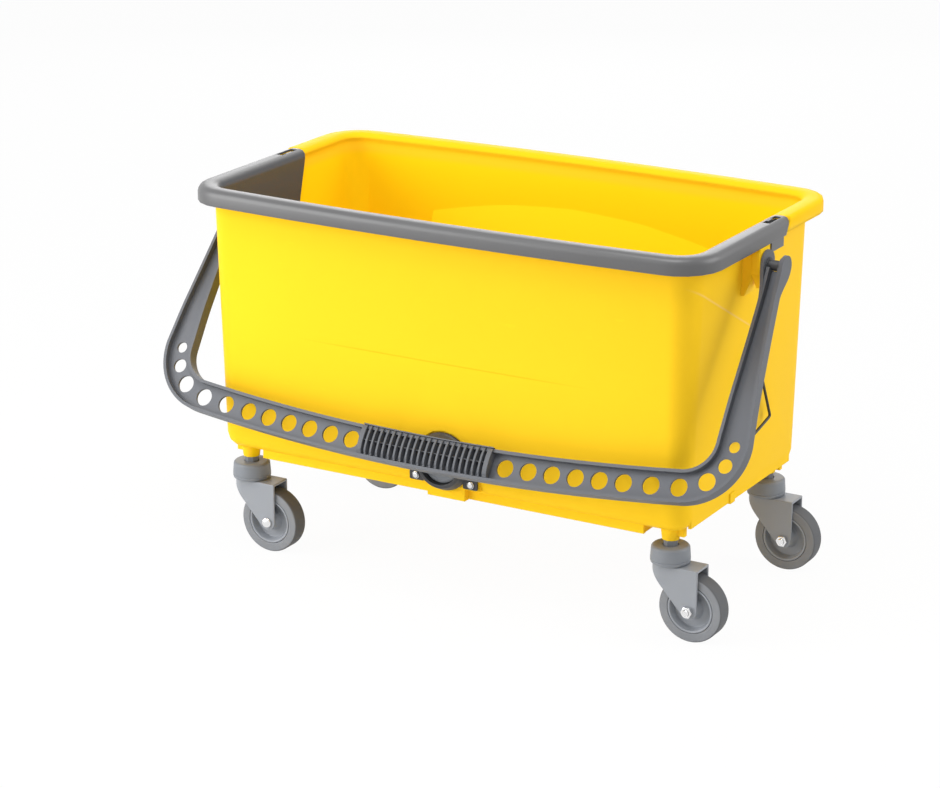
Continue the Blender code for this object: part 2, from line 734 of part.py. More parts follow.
def cover_profile():
    """Section of the rim cover as (offset, height), clockwise from the foot of its outer skirt."""
    skirt_z = COVER_TOP_Z - COVER_SKIRT
    lining = wall(skirt_z) - TUB_WALL - GAP
    skin = rim_skin(0.0) + [(lining - COVER_THICK, skirt_z)]
    return skin + [(lining, skirt_z)] + list(reversed(rim_skin(COVER_THICK)))


def cover_end_y(offset, z):
    """Rear edge of the cover, which slopes forwards as it goes down, more on the skirt than on the lining."""
    slope = COVER_END_SLOPE if offset > 0 else LINING_END_SLOPE
    return COVER_END_Y - (COVER_TOP_Z - z) * slope


def rear_rim():
    """Raised part of the rim behind the cover, flush with it all round."""
    low = LIP_LOW_Z - GAP
    skin = rim_skin(0.0, REAR_ROUND, low)
    inner_side = list(reversed(rim_skin(COVER_THICK + 3 * GAP, low=low)))
    skin[-1] = inner_side[0]
    rows = []
    for offset, z in skin[:-1] + inner_side:
        rows.append(lifted(rim_plan(offset, 1, cover_end_y(offset, z) + GAP), z))
    return loft("rear_rim", list(zip(*rows)))


def make_rim_cover():
    """U-shaped cover over the front rim: outer skirt, top and inner lining, tabs and snap tongues."""
    rows = []
    for offset, z in cover_profile():
        rows.append(lifted(rim_plan(offset, -1, cover_end_y(offset, z)), z))
    cover = loft("rim_cover", list(zip(*rows)), COVER_GREY)
    slots, solids = [], []
    foot = COVER_LOW_Z
    for sign, word in ((-1, "left"), (1, "right")):
        outer = TUB_HALF_LENGTH + COVER_REACH
        near, far = sorted((sign * (outer - COVER_THICK * 0.9), sign * (outer - COVER_THICK * 0.1)))
        low = foot - TAB_DROP
        tab = block(word + "_tab", (near, TAB_START_Y, low), (far, cover_end_y(outer, low), foot + COVER_THICK))
        slot_in = TUB_HALF_LENGTH + SLOT_INSET - SLOT_WIDTH / 2
        start = SLOT_START_Y + GAP
        near, far = sorted((sign * slot_in, sign * (slot_in + SLOT_WIDTH)))
        slots.append(block("cover_slot", (near, start, RIM_TOP_Z - GAP),
                           (far, SLOT_START_Y + SLOT_LENGTH, COVER_TOP_Z + COVER_THICK)))
        near, far = sorted((sign * (slot_in - GAP * 3), sign * (slot_in + TONGUE_THICK)))
        middle = SLOT_START_Y + SLOT_LENGTH / 2
        tongue_top = block(word + "_tongue", (near, middle - TONGUE_LENGTH / 2, RIM_TOP_Z + 2 * GAP),
                           (far, middle + TONGUE_LENGTH / 2, COVER_TOP_Z - GAP))
        near, far = sorted((sign * (slot_in + GAP), sign * (slot_in + TONGUE_THICK - GAP)))
        tongue = block(word + "_tongue_leg", (near, middle - TONGUE_LENGTH / 2 + GAP, RIM_TOP_Z - TONGUE_DROP),
                       (far, middle + TONGUE_LENGTH / 2 - GAP, COVER_TOP_Z - 3 * GAP))
        solids += [tab, tongue_top, tongue]
    combine(cover, "DIFFERENCE", joined("cover_slots", slots))
    combine(cover, "UNION", *solids)
    soften(cover)
    return cover


def handle_half():
    """Right half of the handle's centreline in its own plane, pivot to middle, as (x, z, half width)."""
    lean = math.pi / 2 + ARM_LEAN
    tilt = math.asin(BAR_HALF_LENGTH / BAR_RADIUS)
    bar_end_z = -(BAR_DROP - BAR_HALF_LENGTH ** 2 / (2 * BAR_RADIUS))
    bend = []
    for i in range(BEND_STEPS + 1):
        a = lean + (tilt - lean) * i / BEND_STEPS
        bend.append((BAR_HALF_LENGTH + CORNER_RADIUS * (math.sin(a) - math.sin(tilt)),
                     bar_end_z + CORNER_RADIUS * (math.cos(tilt) - math.cos(a)), BAR_HALF_WIDTH))
    top_x = bend[0][0] - math.tan(ARM_LEAN) * -bend[0][1]
    low_x, low_z, _ = bend[0]
    arm = []
    for z in (0.0, -EAR_TAPER / 2, -EAR_TAPER):
        share = z / low_z
        arm.append((top_x + (low_x - top_x) * share, z, ARM_HALF_WIDTH + (BAR_HALF_WIDTH - ARM_HALF_WIDTH) * share))
    bar = []
    for i in range(1, BAR_STEPS + 1):
        x = BAR_HALF_LENGTH * (1 - i / BAR_STEPS)
        bar.append((x, -(BAR_DROP - x ** 2 / (2 * BAR_RADIUS)), BAR_HALF_WIDTH))
    return arm + bend + bar


def handle_line():
    """Whole centreline from the right pivot to the left one."""
    half = handle_half()
    return half + [(-x, z, width) for x, z, width in reversed(half[:-1])]


def frames(line):
    """Place, outward direction and half width at each point of a centreline."""
    out = []
    for i, (x, z, width) in enumerate(line):
        ahead = line[min(i + 1, len(line) - 1)]
        behind = line[max(i - 1, 0)]
        along = Vector((ahead[0] - behind[0], ahead[1] - behind[1])).normalized()
        out.append((Vector((x, z)), Vector((-along.y, along.x)), width))
    return out


def channel_front(z):
    """Front edge of the channel at a height, which runs back to the ear near the pivot."""
    share = min(-z / EAR_TAPER, 1.0)
    ear = -EAR_RADIUS * 0.8
    return ear + (CHANNEL_BACK - CHANNEL_DEPTH - ear) * math.sin(share * math.pi / 2)


def handle_section(centre, outward, half):
    """Channel section open to the front: a web at the back and a flange on each edge."""
    front = channel_front(min(centre.y, 0.0))
    web = CHANNEL_BACK - CHANNEL_WEB
    lip = half - FLANGE_THICK
    shape = [(half, CHANNEL_BACK), (half, front), (lip, front), (lip, web)]
    shape += [(-lip, web), (-lip, front), (-half, front), (-half, CHANNEL_BACK)]
    return [(centre.x + outward.x * n, y, centre.y + outward.y * n) for n, y in shape]


def hole_places():
    """Distances of the holes along the centreline from the middle, with their radii."""
    steps = [BAR_PITCH] * BAR_PITCHES + [BEND_PITCH] * BEND_PITCHES
    places = [FIRST_HOLE]
    for step in steps + list(END_PITCHES):
        places.append(places[-1] + step)
    return list(zip(places, [HOLE_RADIUS] * (len(steps) + 1) + list(END_HOLE_RADII)))


def along_half(distance):
    """Point on the right half of the centreline at a distance from the middle."""
    line = list(reversed(handle_half()))
    for (x0, z0, _), (x1, z1, _) in zip(line, line[1:]):
        length = math.hypot(x1 - x0, z1 - z0)
        if distance <= length:
            share = distance / length
            return x0 + (x1 - x0) * share, z0 + (z1 - z0) * share
        distance -= length
    return line[-1][:2]


def ear_faces():
    """Inner and outer faces of the two ears at the pivot, out from the middle."""
    top_x = handle_half()[0][0]
    return top_x - ARM_HALF_WIDTH, top_x + ARM_HALF_WIDTH


def ear_outline():
    """Ear as (depth, height): a round eye drawn down in a taper to the flange's back edge."""
    eye = arc((0, 0), EAR_RADIUS, -38, 180, SMALL_STEPS)
    middle = EAR_TAPER / 2
    return eye + [(channel_front(-middle) + GAP, -middle), (CHANNEL_BACK - CHANNEL_WEB / 2, -2 * middle + FLANGE_THICK)]


def make_handle():
    """Bail handle, modelled hanging straight down from its pivot and then tilted to the front."""
    handle = loft("handle", [handle_section(*frame) for frame in frames(handle_line())], HANDLE_GREY)
    inner, outer = ear_faces()
    through = CHANNEL_BACK + CHANNEL_WEB
    holes, ears, slots = [], [], []
    for sign in (-1, 1):
        for distance, radius in hole_places():
            x, z = along_half(distance)
            holes.append(rod("web_hole", (sign * x, CHANNEL_BACK - 2 * CHANNEL_WEB, z), (sign * x, through, z), radius,
                             steps=HOLE_STEPS))
        for face in (inner + FLANGE_THICK / 2, outer - FLANGE_THICK / 2):
            ears.append(plate("ear", ear_outline(), FLANGE_THICK, Matrix.Translation((sign * face, 0, 0)) @ EAR_PLANE))
        near, far = sorted((sign * (inner + FLANGE_THICK), sign * (outer - FLANGE_THICK)))
        slots.append(block("ear_slot", (near, -2 * CHANNEL_DEPTH, -EAR_SLOT), (far, 2 * EAR_RADIUS, EAR_RADIUS)))
    bores = []
    for sign in (-1, 1):
        bores.append(hole("ear_bore", (sign * (inner - FLANGE_THICK), 0, 0), (sign * (outer - EAR_SKIN), 0, 0),
                          PIN_RADIUS))
    combine(handle, "UNION", *ears)
    combine(handle, "DIFFERENCE", joined("handle_holes", holes), joined("ear_slots", slots),
            joined("ear_bores", bores))
    for cutter in list(handle.modifiers):
        cutter.object.parent = handle
    place_on_pivot(handle)
    soften(handle)
    return handle


def place_on_pivot(obj):
    """Put an object's origin on the handle's pivot and tilt it to the front."""
    obj.location = (0, PIVOT_Y, PIVOT_Z)
    obj.rotation_euler = (-HANDLE_TILT, 0, 0)


def bar_z(x):
    """Height of the bar's centreline at a place along it, on the handle's own facets."""
    line = handle_half()
    for (x1, z1, _), (x0, z0, _) in zip(line, line[1:]):
        if x0 <= abs(x) <= x1:
            return z0 + (z1 - z0) * (abs(x) - x0) / (x1 - x0)
    return line[-1][1]


def grip_sections():
    """Sections of the grip through a rib and through a gap, point for point, as (y, height)."""
    half = BAR_HALF_WIDTH - FLANGE_THICK - GAP
    back = CHANNEL_BACK - CHANNEL_WEB - GAP
    edge = CHANNEL_BACK - CHANNEL_DEPTH
    floor = back - GRIP_PLATE
    radius = (half ** 2 + GRIP_CROWN ** 2) / (2 * GRIP_CROWN)
    crest = lambda n: edge - GRIP_CROWN + radius - math.sqrt(radius ** 2 - n ** 2)
    rib_side = [(edge, half), (crest(half * 0.6), half * 0.6), (crest(GRIP_SPINE), GRIP_SPINE)]
    gap_side = [(floor, half), (floor, GRIP_SPINE), (edge, GRIP_SPINE / 2)]
    sections = []
    for side in (rib_side, gap_side):
        mirrored = [(y, -n) for y, n in reversed(side)]
        sections.append([(back, half)] + side + mirrored + [(back, -half)])
    return sections


def make_handle_grip():
    """Ribbed grip that lies in the bar's channel: crowned ribs on a plate, with a spine between them."""
    rib, gap = grip_sections()
    pitch = (2 * GRIP_HALF_LENGTH - GRIP_RIB_THICK) / (GRIP_RIBS - 1)
    rings = []
    for i in range(GRIP_RIBS):
        start = -GRIP_HALF_LENGTH + i * pitch
        stations = [(start, rib), (start + GRIP_RIB_THICK, rib)]
        if i < GRIP_RIBS - 1:
            stations += [(start + GRIP_RIB_THICK, gap), (start + pitch, gap)]
        rings += [[(x, y, bar_z(x) + n) for y, n in section] for x, section in stations]
    grip = loft("handle_grip", rings, HANDLE_GREY)
    place_on_pivot(grip)
    soften(grip)
    return grip


def make_handle_pins():
    """Shouldered pins that carry the handle on the tub's brackets."""
    inner, outer = ear_faces()
    face = pin_seat_x()
    tip = outer - EAR_SKIN - GAP - face
    shoulder = inner - GAP - face
    profile = [(0, tip), (PIN_RADIUS - GAP * 2, tip), (PIN_RADIUS, tip - GAP * 3), (PIN_RADIUS, shoulder),
               (PIN_SHOULDER, shoulder), (PIN_SHOULDER, GAP), (PIN_RADIUS, GAP), (PIN_RADIUS, -PIN_SEAT),
               (0, -PIN_SEAT)]
    for sign, word in ((-1, "left"), (1, "right")):
        pin = turned(word + "_handle_pin", profile, CASTER_GREY, SMALL_STEPS)
        pin.location = (sign * face, PIVOT_Y, PIVOT_Z)
        pin.rotation_euler = (0, sign * math.radians(90), 0)


def drain_turn(obj):
    """Put an object on the drain's axis, its own +Z pointing out of the front wall."""
    obj.location = (DRAIN_X, -drain_face(), DRAIN_Z)
    obj.rotation_euler = (math.radians(90), 0, 0)


def make_drain():
    """Drain flange with its gasket, quarter-turn plug and two screws."""
    ring_top = GAP + DRAIN_PLATE + DRAIN_RING_HEIGHT
    seat = GAP + DRAIN_PLATE
    counterbore = GAP + GASKET_THICK + GAP
    edge = EDGE
    groove = GASKET_RADIUS + GAP
    bore, recess = round_clear(DRAIN_BORE), round_clear(DRAIN_RECESS)
    profile = [(recess, ring_top), (DRAIN_RING_FRONT - edge, ring_top), (DRAIN_RING_FRONT, ring_top - edge),
               (DRAIN_FLANGE - edge, seat), (DRAIN_FLANGE, seat - edge), (DRAIN_FLANGE, GAP), (groove, GAP),
               (groove, counterbore), (bore, counterbore), (bore, seat), (recess, seat)]
    flange = turned("drain_flange", profile, HANDLE_GREY, ROUND_STEPS, ring=True)
    drain_turn(flange)
    front = drain_face()
    strip_z = DRAIN_Z - EAR_SCREW_DROP
    root = math.sqrt((GASKET_RADIUS + 2 * GAP) ** 2 - (EAR_SCREW_DROP - EAR_STRIP_HEIGHT / 2) ** 2) + GAP
    ears, pilots = [], []
    for sign in (-1, 1):
        near, far = sorted((DRAIN_X + sign * root, DRAIN_X + sign * EAR_STRIP_HALF))
        screw_x = DRAIN_X + sign * EAR_SCREW_X
        ears.append(block("drain_ear", (near, -front - GAP - EAR_THICK, strip_z - EAR_STRIP_HEIGHT / 2),
                          (far, -front - 1.5 * GAP, strip_z + EAR_STRIP_HEIGHT / 2)))
        pilots.append(hole("ear_hole", (screw_x, -front + TUB_WALL, strip_z),
                           (screw_x, -front - 2 * DRAIN_PLATE, strip_z), SCREW_RADIUS, BOLT_STEPS))
    combine(flange, "UNION", *ears)
    combine(flange, "DIFFERENCE", joined("ear_holes", pilots))
    gasket = turned("drain_gasket", [(GASKET_RADIUS, GAP + GASKET_THICK), (GASKET_RADIUS, GAP), (bore, GAP),
                                     (bore, GAP + GASKET_THICK)], BLACK_RUBBER, ROUND_STEPS, ring=True)
    drain_turn(gasket)
    head = DRAIN_RECESS - BORE_GAP
    shank = DRAIN_BORE - BORE_GAP
    top = seat + GAP + PLUG_HEAD
    plug = turned("drain_plug", [(0, top), (head - edge, top), (head, top - edge), (head, seat + GAP),
                                 (shank, seat + GAP), (shank, seat - PLUG_LENGTH + edge),
                                 (shank - edge, seat - PLUG_LENGTH), (0, seat - PLUG_LENGTH)], HANDLE_GREY, ROUND_STEPS)
    drain_turn(plug)
    bar = block("plug_bar", (-PLUG_BAR_LENGTH / 2, -PLUG_BAR_THICK / 2, top - PLUG_HEAD / 2),
                (PLUG_BAR_LENGTH / 2, PLUG_BAR_THICK / 2, top + PLUG_BAR_HEIGHT))
    bar.parent = plug
    combine(plug, "UNION", bar)
    tip = GAP + EAR_THICK
    for sign, word in ((-1, "left"), (1, "right")):
        screw = turned(word + "_drain_screw",
                       [(0, tip + GAP + SCREW_HEAD_HEIGHT), (SCREW_HEAD * 0.6, tip + GAP + SCREW_HEAD_HEIGHT),
                        (SCREW_HEAD, tip + GAP + SCREW_HEAD_HEIGHT / 3), (SCREW_HEAD, tip + GAP),
                        (SCREW_RADIUS, tip + GAP), (SCREW_RADIUS, -SCREW_BITE), (0, -SCREW_BITE)], STEEL, BOLT_STEPS)
        screw.location = (DRAIN_X + sign * EAR_SCREW_X, -front, strip_z)
        screw.rotation_euler = (math.radians(90), 0, 0)


def rounded_loop(corners, radius, steps=4):
    """Closed outline through corners, each rounded by a quadratic bend."""
    out = []
    count = len(corners)
    for i, corner in enumerate(corners):
        here = Vector(corner)
        before = (Vector(corners[i - 1]) - here).normalized() * radius
        after = (Vector(corners[(i + 1) % count]) - here).normalized() * radius
        for k in range(steps + 1):
            t = k / steps
            out.append(here + before * (1 - t) ** 2 + after * t ** 2)
    return out


def make_wire_link():
    """Closed wire loop that hangs from the lug on the right end wall."""
    corners = [(-LINK_TOP_HALF, 0), (-LINK_BOTTOM_HALF, -LINK_DROP), (0, -LINK_DROP - LINK_SAG),
               (LINK_BOTTOM_HALF, -LINK_DROP), (LINK_TOP_HALF, 0)]
    points = rounded_loop(corners, LINK_BEND)
    curve = bpy.data.curves.new("wire_link", "CURVE")
    curve.dimensions = "3D"
    curve.bevel_depth = LINK_RADIUS
    curve.bevel_resolution = 1
    spline = curve.splines.new("POLY")
    spline.points.add(len(points) - 1)
    for point, place in zip(spline.points, points):
        point.co = (0, place.x, place.y, 1)
    spline.use_cyclic_u = True
    link = curve_to_mesh("wire_link", curve, Matrix.Identity(4), BLACK_WIRE)
    link.location = (link_axis_x(), 0, LINK_Z)
    soften(link, math.radians(80))


def hairpin(half, back_x, tail_x):
    """Plan outline of the fork: two straight sides joined by a half round at the leading end."""
    return [(tail_x, -half)] + arc((back_x, 0), half, 270, 90, 6) + [(tail_x, half)]


def fork_side():
    """Side outline of the fork: sloped leading edge, round tip at the axle and upright trailing edge."""
    lead_x = FORK_BACK_X - FORK_HALF - GAP
    top = FORK_TOP_Z + FORK_WALL
    run = Vector((CASTER_TRAIL - lead_x, AXLE_Z - FORK_LEAD_Z))
    touch = math.degrees(math.atan2(run.y, run.x) - math.asin(FORK_TIP / run.length)) - 90
    tip = arc((CASTER_TRAIL, AXLE_Z), FORK_TIP, touch, 0, 5)
    return [(lead_x, top), (lead_x, FORK_LEAD_Z)] + tip + [(FORK_TAIL_X, top)]


def fork_mesh():
    """Fork shared by the four casters, about the stem's axis."""
    low = AXLE_Z - 2 * FORK_TIP
    height = FORK_TOP_Z - low
    middle = Matrix.Translation((0, 0, (FORK_TOP_Z + low) / 2))
    fork = plate("fork", hairpin(FORK_HALF, FORK_BACK_X, FORK_TAIL_X + FORK_WALL), height, middle, CASTER_GREY)
    inside = plate("fork_inside", hairpin(FORK_GAP / 2, FORK_BACK_X, FORK_TAIL_X + 3 * FORK_WALL), height,
                   Matrix.Translation((0, 0, (FORK_TOP_Z + low) / 2 - FORK_WALL)))
    upright = Matrix.Rotation(math.radians(90), 4, "X")
    side = plate("fork_side", fork_side(), 4 * FORK_HALF, upright)
    axle = hole("fork_axle_hole", (CASTER_TRAIL, -2 * FORK_HALF, AXLE_Z), (CASTER_TRAIL, 2 * FORK_HALF, AXLE_Z),
                AXLE_RADIUS, BOLT_STEPS)
    stem = hole("fork_stem_hole", (0, 0, FORK_TOP_Z - 2 * FORK_WALL), (0, 0, FORK_TOP_Z + FORK_WALL), STEM_RIVET,
                PIN_STEPS)
    combine(fork, "INTERSECT", side)
    combine(fork, "DIFFERENCE", inside, axle, stem)
    mesh = baked(fork)
    mesh.shade_smooth()
    mesh.set_sharp_from_angle(angle=math.radians(32))
    return mesh


def stem_profile():
    """Stem from its top in the socket down to the rivet head under the fork's roof."""
    top = SOCKET_BOTTOM_Z + STEM_LENGTH_IN_SOCKET
    flange_low = FORK_TOP_Z + GAP + BEARING_HEIGHT + GAP
    flange_top = flange_low + STEM_FLANGE_HEIGHT
    roof = FORK_TOP_Z - FORK_WALL
    return [(0, top), (STEM_RADIUS, top), (STEM_RADIUS, SOCKET_BOTTOM_Z - GAP),
            (STEM_SLEEVE, SOCKET_BOTTOM_Z - GAP), (STEM_SLEEVE, flange_top), (STEM_FLANGE, flange_top),
            (STEM_FLANGE, flange_low), (STEM_RIVET, flange_low), (STEM_RIVET, roof - GAP), (RIVET_HEAD, roof - GAP),
            (RIVET_HEAD * 0.6, roof - GAP - RIVET_HEAD_HEIGHT), (0, roof - GAP - RIVET_HEAD_HEIGHT)]


def collar_profile():
    """Domed collar over the swivel bearing, open below."""
    low = FORK_TOP_Z + GAP
    bore = STEM_SLEEVE + BORE_GAP
    cavity = COLLAR_RADIUS - COLLAR_WALL
    roof = COLLAR_TOP_Z - COLLAR_WALL
    shoulder = COLLAR_RADIUS - COLLAR_WALL / 2
    return [(bore, COLLAR_TOP_Z), (shoulder - COLLAR_WALL, COLLAR_TOP_Z), (shoulder, COLLAR_TOP_Z - COLLAR_WALL),
            (COLLAR_RADIUS, low + 2 * COLLAR_WALL), (COLLAR_RADIUS, low + COLLAR_WALL), (shoulder, low),
            (cavity, low), (cavity, roof), (bore, roof)]


def tyre_profile():
    """Rubber tyre with a flat tread, rounded shoulders and flat side faces."""
    half, inner = TYRE_WIDTH / 2, WHEEL_RADIUS - TYRE_DEPTH
    upper = [(inner, half), (WHEEL_RADIUS - TYRE_SHOULDER, half), (WHEEL_RADIUS, half - TYRE_SHOULDER)]
    return upper + [(radius, -height) for radius, height in reversed(upper)]


def hub_profile():
    """Hub with a raised rim ring, a dished web and a conical boss, symmetrical about the middle."""
    half = TYRE_WIDTH / 2
    rim = WHEEL_RADIUS - TYRE_DEPTH - GAP
    bore = AXLE_RADIUS + 2 * BORE_GAP + SLEEVE_WALL + BORE_GAP
    boss = FORK_GAP / 2 - GAP
    upper = [(bore, boss), (bore + HUB_BOSS_WALL, boss), (bore + 2.5 * HUB_BOSS_WALL, half * HUB_DISH),
             (rim - 2 * HUB_RING, half * HUB_DISH), (rim - HUB_RING, half), (rim, half)]
    return upper + [(radius, -height) for radius, height in reversed(upper)]


def bolt_profile():
    """Axle bolt with a domed head at its top and the thread end past the nut."""
    seat = FORK_HALF + GAP
    tip = -(FORK_HALF + GAP + NUT_HEIGHT + 0.0012)
    top = seat + AXLE_HEAD_HEIGHT
    return [(0, top), (AXLE_HEAD * 0.55, top - 0.0004), (AXLE_HEAD * 0.9, top - 0.0017), (AXLE_HEAD, seat + 0.0010),
            (AXLE_HEAD, seat), (AXLE_RADIUS, seat), (AXLE_RADIUS, tip + 0.0005), (AXLE_RADIUS - 0.0005, tip), (0, tip)]


def nut_mesh():
    """Hexagonal nut shared by the four axles."""
    seat = FORK_HALF + GAP
    radius = NUT_ACROSS_FLATS / math.sqrt(3)
    nut = rod("axle_nut", (0, 0, -seat), (0, 0, -seat - NUT_HEIGHT), radius, steps=6, material=STEEL)
    bore = hole("nut_bore", (0, 0, 0), (0, 0, -seat - 2 * NUT_HEIGHT), AXLE_RADIUS, BOLT_STEPS)
    combine(nut, "DIFFERENCE", bore)
    return baked(nut)


def caster_meshes():
    """Meshes shared by the four casters, each about the stem's or the axle's own axis."""
    axle_bore = AXLE_RADIUS + BORE_GAP
    length = FORK_GAP / 2 - GAP
    sleeve = [(axle_bore + SLEEVE_WALL, length), (axle_bore + SLEEVE_WALL, -length), (axle_bore, -length),
              (axle_bore, length)]
    low = FORK_TOP_Z + GAP
    race = [(STEM_FLANGE, low + BEARING_HEIGHT), (STEM_FLANGE, low), (STEM_RIVET + 0.0020, low),
            (STEM_RIVET + 0.0020, low + BEARING_HEIGHT)]
    shapes = {
        "stem": turned("stem", stem_profile(), STEEL, PIN_STEPS),
        "swivel_collar": turned("swivel_collar", collar_profile(), CASTER_GREY, COLLAR_STEPS, ring=True),
        "swivel_bearing": turned("swivel_bearing", race, STEEL, PIN_STEPS, ring=True),
        "tyre": turned("tyre", tyre_profile(), TYRE_GREY, WHEEL_STEPS, ring=True),
        "hub": turned("hub", hub_profile(), CASTER_GREY, SMALL_STEPS, ring=True),
        "axle_sleeve": turned("axle_sleeve", sleeve, STEEL, BOLT_STEPS, ring=True),
        "axle_bolt": turned("axle_bolt", bolt_profile(), STEEL, BOLT_STEPS),
    }
    meshes = {name: baked(shape) for name, shape in shapes.items()}
    for mesh in meshes.values():
        mesh.set_sharp_from_angle(angle=math.radians(32))
    meshes["fork"] = fork_mesh()
    meshes["axle_nut"] = nut_mesh()
    return meshes


def make_casters():
    """Four casters trailing along +X: stem in the tub, swivelling fork and spinning wheel."""
    meshes = caster_meshes()
    for name, x, y in stem_places():
        swivel = bpy.data.objects.new(name + "_caster_swivel", None)
        axle = bpy.data.objects.new(name + "_wheel_axle", None)
        for empty in (swivel, axle):
            PARTS.objects.link(empty)
        swivel.location = (x, y, 0)
        axle.parent = swivel
        axle.location = (CASTER_TRAIL, 0, AXLE_Z)
        head_first = name == "front_left"
        axle.rotation_euler = (math.radians(90 if head_first else -90), 0, 0)
        for piece in ("stem", "swivel_collar", "swivel_bearing", "fork"):
            add_object(f"{name}_{piece}", meshes[piece], STEEL).parent = swivel
        for piece in ("tyre", "hub", "axle_sleeve", "axle_bolt", "axle_nut"):
            add_object(f"{name}_{piece}", meshes[piece], STEEL).parent = axle


def centre_on_floor():
    """Move the whole so that the origin lies on the floor under the middle of its outer box."""
    bpy.context.view_layer.update()
    graph = bpy.context.evaluated_depsgraph_get()
    points = []
    for obj in PARTS.all_objects:
        if obj.type == "MESH":
            solid = obj.evaluated_get(graph)
            points += [obj.matrix_world @ vertex.co for vertex in solid.to_mesh().vertices]
            solid.to_mesh_clear()
    middle = Vector([(min(p[i] for p in points) + max(p[i] for p in points)) / 2 for i in range(2)] + [0.0])
    for obj in list(PARTS.all_objects) + list(CUTTERS.all_objects):
        if obj.parent is None:
            obj.location -= middle
    print("tub centre in the frame:", [round(-value, 6) for value in middle])


make_tub()
make_rim_cover()
make_handle()
make_handle_grip()
make_handle_pins()
make_drain()
make_wire_link()
make_casters()
centre_on_floor()
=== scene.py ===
"""Looks of the mop bucket: finer handle, grip, casters and drain, in moulded plastic finishes."""
import json
import math

import bmesh
import bpy
from mathutils import Matrix, Vector


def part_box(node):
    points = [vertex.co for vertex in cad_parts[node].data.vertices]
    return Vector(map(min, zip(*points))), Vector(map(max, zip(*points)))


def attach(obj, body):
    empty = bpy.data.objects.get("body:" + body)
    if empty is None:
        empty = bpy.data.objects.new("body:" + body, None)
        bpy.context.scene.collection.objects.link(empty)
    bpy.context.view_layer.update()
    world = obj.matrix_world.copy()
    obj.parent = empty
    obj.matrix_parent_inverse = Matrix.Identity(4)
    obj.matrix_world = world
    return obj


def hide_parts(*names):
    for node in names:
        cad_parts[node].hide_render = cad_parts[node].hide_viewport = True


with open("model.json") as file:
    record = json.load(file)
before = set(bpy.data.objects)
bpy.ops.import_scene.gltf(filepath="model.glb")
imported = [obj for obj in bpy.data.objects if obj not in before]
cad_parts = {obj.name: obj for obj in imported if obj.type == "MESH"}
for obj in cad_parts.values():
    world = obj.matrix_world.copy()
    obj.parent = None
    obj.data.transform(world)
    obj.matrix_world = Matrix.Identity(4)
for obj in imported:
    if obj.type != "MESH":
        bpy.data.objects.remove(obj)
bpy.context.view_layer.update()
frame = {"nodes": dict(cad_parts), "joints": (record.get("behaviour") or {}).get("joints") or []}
NODES = frame["nodes"]
JOINTS = {joint["name"]: Vector(joint["pos_m"]) for joint in frame["joints"]}
CASTERS = ("front_left", "front_right", "rear_left", "rear_right")
SIDES = ((-1, "left"), (1, "right"))

# Place of the tub in the frame and its main heights
TUB_Y = JOINTS["front_left_swivel"].y / 2 + JOINTS["rear_left_swivel"].y / 2
TUB_HALF_LENGTH = 0.2605
TUB_HALF_WIDTH = 0.1315
RIM_TOP_Z = 0.370
COVER_TOP_Z = 0.3722

# Rear arch of the tub, whose soft edges stay crisp in shading
ARCH_FRONT_Y = 0.080
ARCH_HALF = 0.170
ARCH_LOW_Z = 0.150
ARCH_HIGH_Z = 0.345

# Moulding marks of the tub, from its middle: a fold along the front, a witness line across the right end
FRONT_WALL_Y = -0.120
RIGHT_WALL_X = 0.244
FOLD = {"line": 0.234, "half_width": 0.0011, "start": -0.170, "end": 0.175, "fade": 0.10}
WITNESS = {"line": 0.353, "half_width": 0.0019, "start": -0.128, "end": 0.010, "fade": 0.02}
WITNESS_SLOPE = 0.524
WITNESS_FOOT_Y = -0.150

# Tints, red green blue
TUB_YELLOW = (0.98, 0.606, 0.020)
# painted light: a clearer yellow for the inner walls, standing in for more light falling there
INNER_PAINTED_LIGHT_YELLOW = (0.98, 0.660, 0.004)
# painted shade: a deeper yellow for the rolled rim top, which catches much light from above
RIM_PAINTED_SHADE_YELLOW = (0.95, 0.555, 0.010)
# painted shade: darker orange for the crease of the front fold, over its real groove bump
FOLD_PAINTED_SHADE_YELLOW = (0.80, 0.40, 0.001)
# painted highlight: a pale peach for the witness line, over its real raised bead bump
WITNESS_PAINTED_HIGHLIGHT_YELLOW = (0.95, 0.60, 0.14)
COVER_GREY = (0.098, 0.098, 0.100)
# painted shade for the cover's inner face: neutral grey near its top edge, and below it a blue-tinted grey
# that cancels the yellow light bounced from the tub
LINING_TOP_PAINTED_SHADE = (0.040, 0.042, 0.046)
LINING_LOW_PAINTED_SHADE = (0.024, 0.038, 0.066)
# painted shade for a screw's drive recess
RECESS_PAINTED_SHADE = (0.012, 0.012, 0.012)

# Photograph: image size, lens in pixels, eye and aim about the tub's middle
IMAGE_WIDTH = 940
LENS_PIXELS = 2942.64
EYE = Vector((1.3391, -2.3792, 1.0648))
AIM = Vector((-0.04156, 0.0, 0.15873))
CAMERA_ROLL = math.radians(-0.07)

# Handle in its own plane, pivot at the origin
HANDLE_TILT = math.radians(33.0)
ARM_LEAN = math.radians(3.24)
ARM_HALF_WIDTH = 0.0068
ARM_TAPER = 1.3
ARM_TOP_Z = -0.0040
BAR_HALF_WIDTH = 0.0154
BAR_DROP = 0.2344
BAR_RADIUS = 2.262
BEND_RADIUS = 0.045
CHANNEL_BACK = -0.0039
CHANNEL_DEPTH = 0.012
CHANNEL_WEB = 0.0025
FLANGE_THICK = 0.0030
WEB_RECESS = 0.0060
HOLE_SPACING = [0.0838] + [0.0241] * 5 + [0.0272] * 3 + [0.0218, 0.0190]
HOLE_RADII = [0.0086] * 9 + [0.0070, 0.0055]

